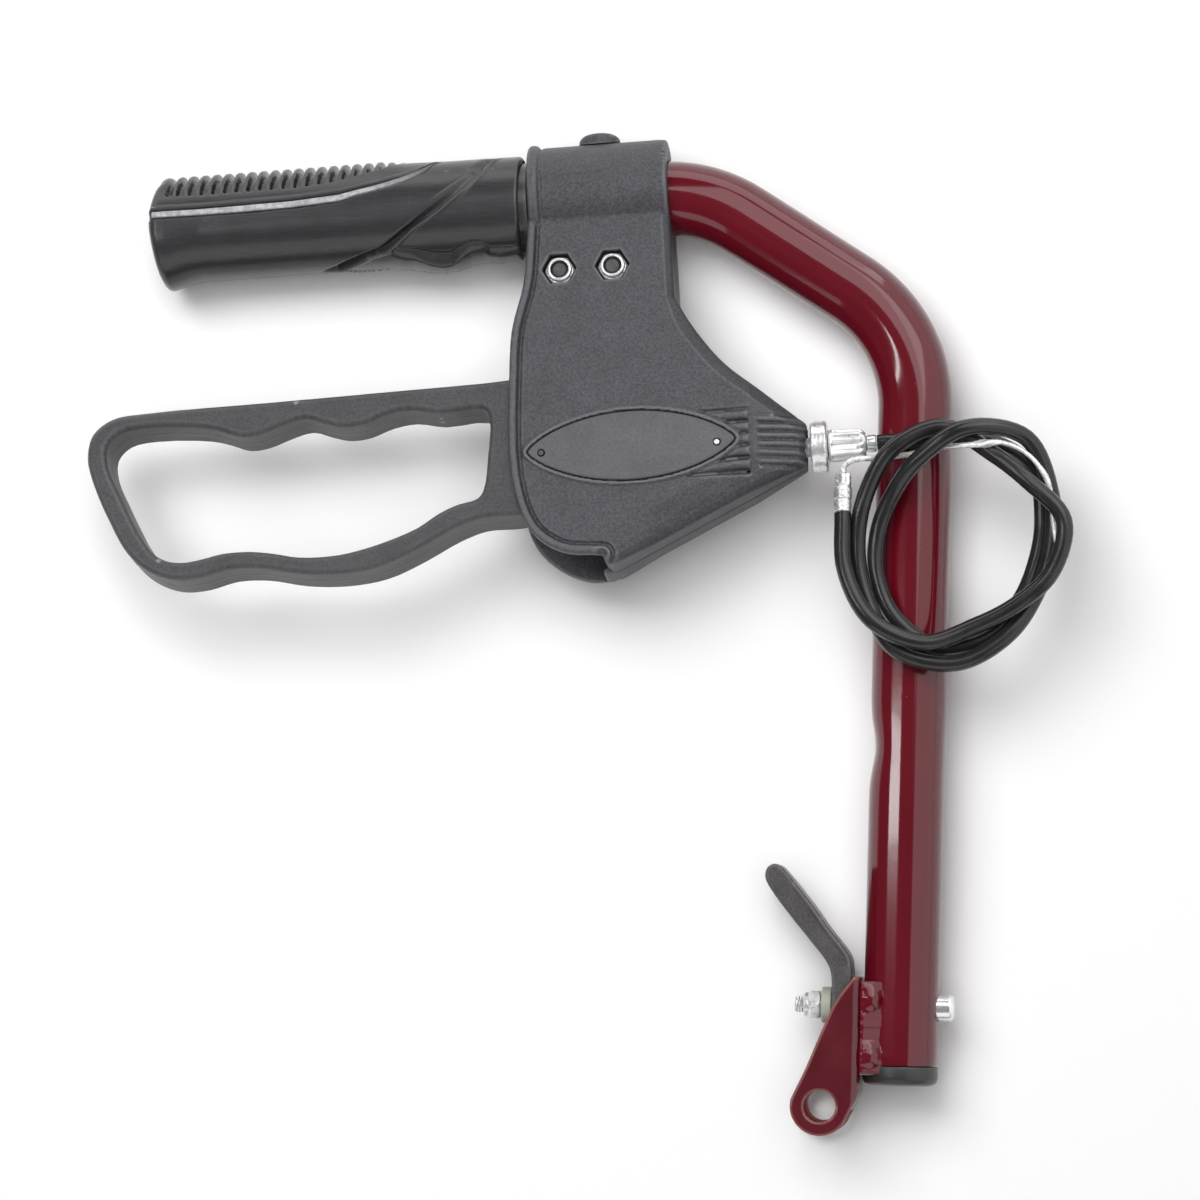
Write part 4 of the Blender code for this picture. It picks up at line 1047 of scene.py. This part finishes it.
def lever_field(x, y, z):
    outer = outline_distance(x, y, smooth_loop(LEVER_EDGE, 4))
    window = outline_distance(x, y, smooth_loop(WINDOW_EDGE, 3))
    crown = 0.10 * bell(z, 0.5)
    solid = rounded(both(outer, -window) - crown, np.abs(z) - LEVER_HALF, 1.9)
    solid = both(solid, -hole(PIVOT, x, y, LEVER_BORE_R))
    solid = both(solid, -hole(NIPPLE, x, y, NIPPLE_BORE_R))
    slot = both(both(np.abs(y - ADJUSTER_Y), np.abs(z)) - 1.6, NIPPLE[0] - x)
    return both(solid, -slot)


def make_lever():
    carve("moulded_lever", lever_field, (-158.5, -112.5, -11.0), (15.0, -48.5, 11.0), 0.5, HOUSING, "lever",
          ["brake_lever"], "lever")


# ---------------- cable adjuster

def thread(low, high, pitch=0.8, depth=0.28):
    """A ripple for a screw thread between two places."""
    def ripple(x, angle, radius):
        wave = 0.5 - 0.5 * np.cos(2 * pi * x / pitch - angle)
        return radius - depth * wave * (x > low) * (x < high) * (radius > 2.0)
    return ripple


def make_adjuster():
    centre = (0, ADJUSTER_Y, 0)

    def barrel(x, angle, radius):
        radius = thread(45.6, 63.8)(x, angle, radius)
        grooves = 0.75 * (0.5 - 0.5 * np.cos(13 * angle)) ** 1.6
        radius = radius - grooves * ramp(x, 64.9, 65.6) * ramp(x, 74.6, 73.4) * (radius > 3.5)
        slot = (x > 64.8) & (x < 72.4) & (radius * np.cos(angle) < -0.6) & (radius * np.sin(angle) > 3.4)
        return np.where(slot, 3.4 / np.clip(np.sin(angle), 0.2, 1), radius)

    outer = softened([(45.0, 2.0), (45.0, 2.7), (45.4, 2.9), (64.0, 2.9), (64.1, 4.6), (64.6, 4.9),
                      (73.4, 4.7), (75.0, 3.3), (75.0, 2.4)], 0.15)
    inner = [(71.0, 2.3), (71.0, 1.3), (45.0, 1.3)]
    rows = moved(turned_rows(dense(outer, 0.14) + inner, 156, barrel), centre=centre)
    wrap("fluted_barrel", rows, HOUSING, "barrel", ["barrel_adjuster"], "adjuster", closed=True)

    def hammered(x, angle, radius):
        dents = np.sin(7 * angle + 2.1 * x) * np.sin(4 * angle - 3.0 * x) + 0.6 * np.sin(13 * angle + 5 * x)
        return radius + 0.035 * dents * (radius > 6.4)

    ring = softened([(58.9, 3.4), (58.9, 7.0), (59.4, 7.6), (63.3, 7.6), (63.8, 7.0), (63.8, 3.4)], 0.2)
    rows = moved(turned_rows(dense(ring, 0.35) + [(63.7, 3.2), (59.0, 3.2)], 96, hammered), centre=centre)
    wrap("knurled_ring", rows, HOUSING, "cast", ["adjuster_lock_nut"], "lock_nut", closed=True)

    sleeve = softened([(71.3, 1.3), (71.3, 2.0), (75.3, 2.05), (75.5, 2.6), (77.8, 2.6), (78.0, 2.4),
                       (78.0, 1.3)], 0.2)
    rows = moved(turned_rows(sleeve + [(77.9, 1.1), (71.4, 1.1)], 40), centre=centre)
    wrap("sheath_sleeve", rows, HOUSING, "steel", ["cable_sleeve"], closed=True)


# ---------------- brake cable

def cord_frames(points):
    """Two directions across a path at each point, carried along it without twist."""
    points = [Vector(p) for p in points]
    normal = None
    frames = []
    for i, point in enumerate(points):
        along = (points[min(i + 1, len(points) - 1)] - points[max(i - 1, 0)]).normalized()
        if normal is None:
            normal = along.orthogonal().normalized()
        normal = (normal - along * normal.dot(along)).normalized()
        frames.append((point, normal, along.cross(normal)))
    return frames


def swept(points, sides, radius_at):
    """Rings round a path; radius_at gives the radius from the place along it and the angle."""
    angle = np.arange(sides) * 2 * pi / sides
    rows = []
    travelled = 0.0
    previous = None
    for point, first, second in cord_frames(points):
        if previous is not None:
            travelled += (point - previous).length
        previous = point
        radius = radius_at(travelled, angle)[:, None]
        offset = np.outer(np.cos(angle), first) + np.outer(np.sin(angle), second)
        rows.append(np.array(point) + offset * radius)
    return rows


def world(points):
    return [tuple(LEG @ (Vector(p) * MM)) for p in points]


def run_length(points):
    return sum((b - a).length for a, b in zip(points, points[1:]))


def make_cable():
    start = HOUSING_IN_LEG @ Vector((78.3 * MM, ADJUSTER_Y * MM, 0)) / MM
    heading = HOUSING_IN_LEG.to_3x3() @ Vector((1, 0, 0))
    knots = [start, start + heading * 3.0]
    for step, (radius, height) in enumerate(LOOPS):
        angle = LOOP_START + LOOP_STEP * step
        knots.append(Vector((LOOP_CENTRE[0] + radius * cos(angle),
                             LOOP_CENTRE[1] + radius * sin(angle), height)))
    cad_route = smooth_run(knots, 2)
    end, along = cad_route[-1], (cad_route[-1] - cad_route[-2]).normalized()
    route = smooth_run(knots, 8)

    def sheath_radius(travelled, angle):
        dip = 0.16 * (1 - min(1.0, travelled / 1.2)) + 0.02 * sin(travelled / 5.3)
        return SHEATH_R - dip + 0 * angle

    sheath = wrap("cable_sheath_tube", swept(route, 32, sheath_radius), LEG, "sheath", ["brake_cable_sheath"])

    profile = [(0.3, 0.2), (0.3, 2.5), (3.4, 2.6), (3.8, 2.25), (4.2, 2.6), (7.4, 2.6), (7.8, 2.2),
               (8.2, 2.4), (FERRULE_LENGTH, 2.3), (FERRULE_LENGTH, 1.0), (FERRULE_LENGTH - 0.6, 0.2)]
    lie = Matrix.Translation(end) @ along.to_track_quat("X", "Z").to_matrix().to_4x4()

    def crimped(x, angle, radius):
        flats = 0.16 * np.cos(6 * angle) * ramp(x, 8.0, 8.6) * (radius > 1.5)
        return radius - 0.05 * np.sin(9 * angle + 4 * x) * (radius > 1.5) - flats

    rows = turned_rows(dense(softened(profile, 0.35), 0.3), 48, crimped)
    vertices, faces = skin(rows)
    ferrule = add("crimped_ferrule", placed(vertices, lie), faces, LEG, "cast", ["cable_end_ferrule"],
                  turn_out=True)

    wire = [end + along * (FERRULE_LENGTH + 0.3), end + along * (FERRULE_LENGTH + 2.0)]
    wire_route = smooth_run(wire + [Vector(p) for p in WIRE_ROUTE], 8)
    length = run_length(wire_route)

    def wire_radius(travelled, angle):
        strands = 0.26 * np.abs(np.cos(1.5 * (angle + travelled * 1.5)))
        loose = 0.60 * bell(travelled - FRAY, 2.6)
        smooth = ramp(travelled, 50, 53) * ramp(travelled, 68, 64)
        spread = loose * (0.6 + 0.4 * np.cos(angle * 3 + travelled))
        return WIRE_R * 0.84 + strands * (1 - 0.85 * smooth) + spread

    rows = swept(wire_route, 24, wire_radius)
    bare = wrap("stranded_wire", rows, LEG, "strands", ["cable_end_wire"], sharp=80)

    sheath_length = run_length(route)
    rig.cord(sheath, exit=world([start])[0], length=sheath_length * MM, diameter=2 * SHEATH_R * MM,
            far_end="fitting", stiffness="stiff", lay="loose", path=world(route), with_pieces=[ferrule])
    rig.cord(bare, exit=world([wire_route[0]])[0], length=length * MM, diameter=2 * WIRE_R * MM,
            far_end="bare", stiffness="stiff", lay="loose", path=world(wire_route))


# ---------------- lower bracket, pin and paddle

WEB_ENDS = (-8.6, 25.8)
EYE_ARC = (168, 157)


def ear_outline():
    left = smooth_run([(-13.9, 25.4), (-18.8, 18.3), (-22.8, 9.4), (-27.4, -2.0), (-30.9, -9.6)], 6)
    eye = []
    for i in range(25):
        turn = radians(EYE_ARC[0] + EYE_ARC[1] * i / 24)
        eye.append((EYE[0] + EYE_R * cos(turn), EYE[1] + EYE_R * sin(turn)))
    right = smooth_run([(-14.2, -14.4), (-12.6, -11.2), (WEB_X, WEB_ENDS[0])], 4)
    return [(WEB_X + 2, WEB_ENDS[1]), (-13.6, 25.6), *left, *eye, *right, (WEB_X + 2, WEB_ENDS[0])]


def bracket_field(x, y, z):
    ear = both(outline_distance(x, y, ear_outline()), -hole(EYE, x, y, EYE_HOLE_R))
    outer = rounded(x - WEB_X, np.abs(z) - BRACKET_HALF, 3.0)
    inner = rounded(x - WEB_X + SHEET, np.abs(z) - (BRACKET_HALF - SHEET), 1.2)
    sheet = both(outer, -inner)
    solid = rounded(ear + 0 * z, sheet, 0.35)
    return both(solid, STUD_R + GAP - np.hypot(y - PIN_Y, z))


def weld_field(side):
    """A painted seam that fills the wedge between the tube and the bracket's web."""
    def field(x, y, z):
        height = z * side
        swell = 0.25 * np.sin(0.55 * y + 0.6) + 0.08 * np.sin(2.3 * y)
        face = 0.36 * x + 0.933 * height - 6.9 - swell
        solid = rounded(face, both(between(y, -3.0, 24.6), -11.7 - x), 1.2)
        solid = both(solid, 6.0 - height)
        for place, size in ((19.3, 2.6), (2.6, 2.2)):
            blob = np.sqrt((x + 8.6) ** 2 + ((y - place) * 0.8) ** 2 + (height - 9.7) ** 2) - size
            solid = merged(solid, blob, 2.4)
        return both(solid, TUBE_R - 1.0 - np.hypot(x, z))
    return field


def make_bracket():
    carve("folded_bracket", bracket_field, (-32.5, -22.0, -13.5), (-10.5, 26.8, 13.5), 0.4, LEG,
          "rough_enamel", ["clevis_bracket"], sharp=60)
    for name, side in (("front", 1), ("back", -1)):
        low, high = sorted((4.5 * side, 13.8 * side))
        carve(f"weld_{name}", weld_field(side), (-13.2, -5.5, low), (-1.5, 27.0, high), 0.25, LEG, "enamel",
              [f"weld_bead_{name}"], sharp=80)


def make_lock_pin():
    profile = softened([(-31.4, 0.2), (-31.4, 2.0), (-30.8, STUD_R), (5.3, STUD_R), (5.3, 6.0), (6.9, 6.0),
                        (6.9, PIN_TIP_R), (14.4, PIN_TIP_R), (15.6, 3.0), (15.6, 0.2)], 0.5)
    rows = moved(turned_rows(dense(profile, 0.2), 72, thread(-31.2, -24.0)), centre=PIN_CENTRE)
    wrap("locking_pin", rows, LEG, "steel", ["lock_pin"], "pin")
    washer = softened([(-23.5, 2.8), (-23.5, 5.3), (-20.5, 5.3), (-20.5, 2.8)], 0.5)
    rows = moved(turned_rows(washer + [(-20.6, 2.7), (-23.4, 2.7)], 64), centre=PIN_CENTRE)
    wrap("nylon_washer", rows, LEG, "nylon", ["lock_pin_washer"], "pin", closed=True)


def paddle_field(x, y, z):
    outer = smooth_run([(-20.2, 15.6), (-20.3, 24.4), (-21.3, 28.6), (-27.2, 36.2), (-32.8, 42.8),
                        (-38.7, 50.4), (-40.6, 54.0), (-40.2, 56.8), (-38.0, 58.2), (-35.6, 57.2)], 4)
    inner = smooth_run([(-31.2, 52.2), (-26.3, 46.2), (-21.4, 39.6), (-15.6, 32.4), (-14.6, 29.6),
                        (-14.5, 15.6)], 4)
    edge = outline_distance(x, y, outer + inner)
    rim = run_distance(x, y, inner)
    half = PADDLE_HALF - 0.35 * ramp(rim, 1.1, 1.7) * ramp(y, 24, 30)
    solid = rounded(edge, np.abs(z) - half, 0.9)
    fork = both(np.abs(z) - 3.0, y - 20.6)
    return both(solid, -fork)


def make_paddle():
    carve("thumb_paddle", paddle_field, (-42.0, 14.0, -10.8), (-13.0, 59.5, 10.8), 0.35, LEG, "paddle",
          ["release_paddle"], "paddle")


# ---------------- CAD solids that stay

# The left cover pin takes the darkened steel as painted shade, while its twin on the right stays bright
KEPT = {
    "cover_pin_left": "painted_shade_steel", "cover_pin_right": "steel", "clamp_bolt_left": "painted_shade_steel",
    "clamp_bolt_right": "painted_shade_steel", "lever_pivot_pin": "steel", "adjuster_seat_nut": "brass",
    "pull_wire": "strands", "lock_pin_spring": "steel", "pivot_bush": "nylon", "cable_nipple": "brass",
}


def dress_kept_nodes():
    for name, finish in KEPT.items():
        node = frame["nodes"][name]
        node.data.materials.clear()
        node.data.materials.append(materials[finish])


# ---------------- camera, floor and light

def look(position, target, up):
    forward = (Vector(target) - Vector(position)).normalized()
    right = forward.cross(Vector(up)).normalized()
    matrix = Matrix((right, right.cross(forward), -forward)).transposed().to_4x4()
    return Matrix.Translation(position) @ matrix


def make_camera():
    data = bpy.data.cameras.new("camera")
    data.sensor_width = 36.0
    data.lens = 151.2
    data.clip_start, data.clip_end = 0.05, 20.0
    camera = bpy.data.objects.new("camera", data)
    bpy.context.scene.collection.objects.link(camera)
    roll = radians(1.6)
    place = LEG @ (Vector((62.58, 36.1, 1491.0)) * MM)
    aim = LEG @ (Vector((-92.62, 135.36, 0.0)) * MM)
    camera.matrix_world = look(place, aim, (-sin(roll), cos(roll), 0.0))
    bpy.context.scene.camera = camera


def make_floor():
    bm = bmesh.new()
    bmesh.ops.create_grid(bm, x_segments=2, y_segments=2, size=4.0)
    mesh = bpy.data.meshes.new("floor")
    bm.to_mesh(mesh)
    bm.free()
    floor = bpy.data.objects.new("floor", mesh)
    bpy.context.scene.collection.objects.link(floor)
    material = bpy.data.materials.new("floor_white")
    material.use_nodes = True
    shader = material.node_tree.nodes["Principled BSDF"]
    shader.inputs["Base Color"].default_value = (0.95, 0.95, 0.95, 1.0)
    shader.inputs["Roughness"].default_value = 0.9
    shader.inputs["Specular IOR Level"].default_value = 0.1
    mesh.materials.append(material)
    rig.stage(floor)


# Panels that are only seen reflected, and lamps that are not: name, place, size, brightness and target
MIDDLE = (0.0, 0.0, 0.0)
REFLECTIONS = (
    ("side_panel", (0.95, 0.55, 0.75), (2.8, 1.5), 1.05, (0.0, 0.55, 0.6)),
    ("near_panel", (0.0, -0.95, 0.62), (1.6, 0.85), 1.1, (0.0, 0.0, 0.6)),
    ("far_panel", (-0.2, 1.0, 0.26), (1.8, 0.46), 2.0, (-0.2, 0.0, 0.2)),
    ("corner_panel", (0.47, 0.66, 1.05), (1.0, 1.0), 1.9, MIDDLE),
    ("strip_panel", (-0.70, 0.0, 1.15), (0.07, 0.8), 12.0, MIDDLE),
    ("glint", (-0.62, 0.42, 1.20), (0.12, 0.30), 11.0, MIDDLE),
)
LAMPS = (
    ("key", (-0.35, 0.62, 1.30), (1.1, 0.8), 5.4, MIDDLE),
    ("top", (0.1, 0.1, 1.7), (1.6, 1.6), 2.3, MIDDLE),
)


def panel(name, place, size, brightness, target, reflected=True, lighting=True):
    """A rectangular light of a given brightness, aimed at a target."""
    data = bpy.data.lights.new(name, "AREA")
    data.shape = "RECTANGLE"
    data.size, data.size_y = size
    data.energy = brightness * pi * size[0] * size[1]
    light = bpy.data.objects.new(name, data)
    bpy.context.scene.collection.objects.link(light)
    light.matrix_world = look(place, target, (0, 0, 1) if abs(place[2]) < 1.2 else (0, 1, 0))
    light.visible_glossy = reflected
    light.visible_diffuse = lighting


def make_light():
    scene = bpy.context.scene
    scene.view_settings.view_transform = "Standard"
    scene.world = bpy.data.worlds.new("studio")
    scene.world.use_nodes = True
    background = scene.world.node_tree.nodes["Background"]
    background.inputs["Color"].default_value = (0.95, 0.97, 1.0, 1.0)
    background.inputs["Strength"].default_value = 0.11
    for settings in REFLECTIONS:
        panel(*settings, lighting=False)
    for settings in LAMPS:
        panel(*settings, reflected=False)


make_camera()
make_floor()
make_light()
make_cable()
make_tube()
make_grip()
make_plug()
make_housing()
make_plate()
make_nuts()
make_cap()
make_lever()
make_adjuster()
make_bracket()
make_lock_pin()
make_paddle()
dress_kept_nodes()

with open("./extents.json", "w") as sizes:
    json.dump([[list(corner) for corner in cad_box], [list(corner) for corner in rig.bounds()]], sizes)
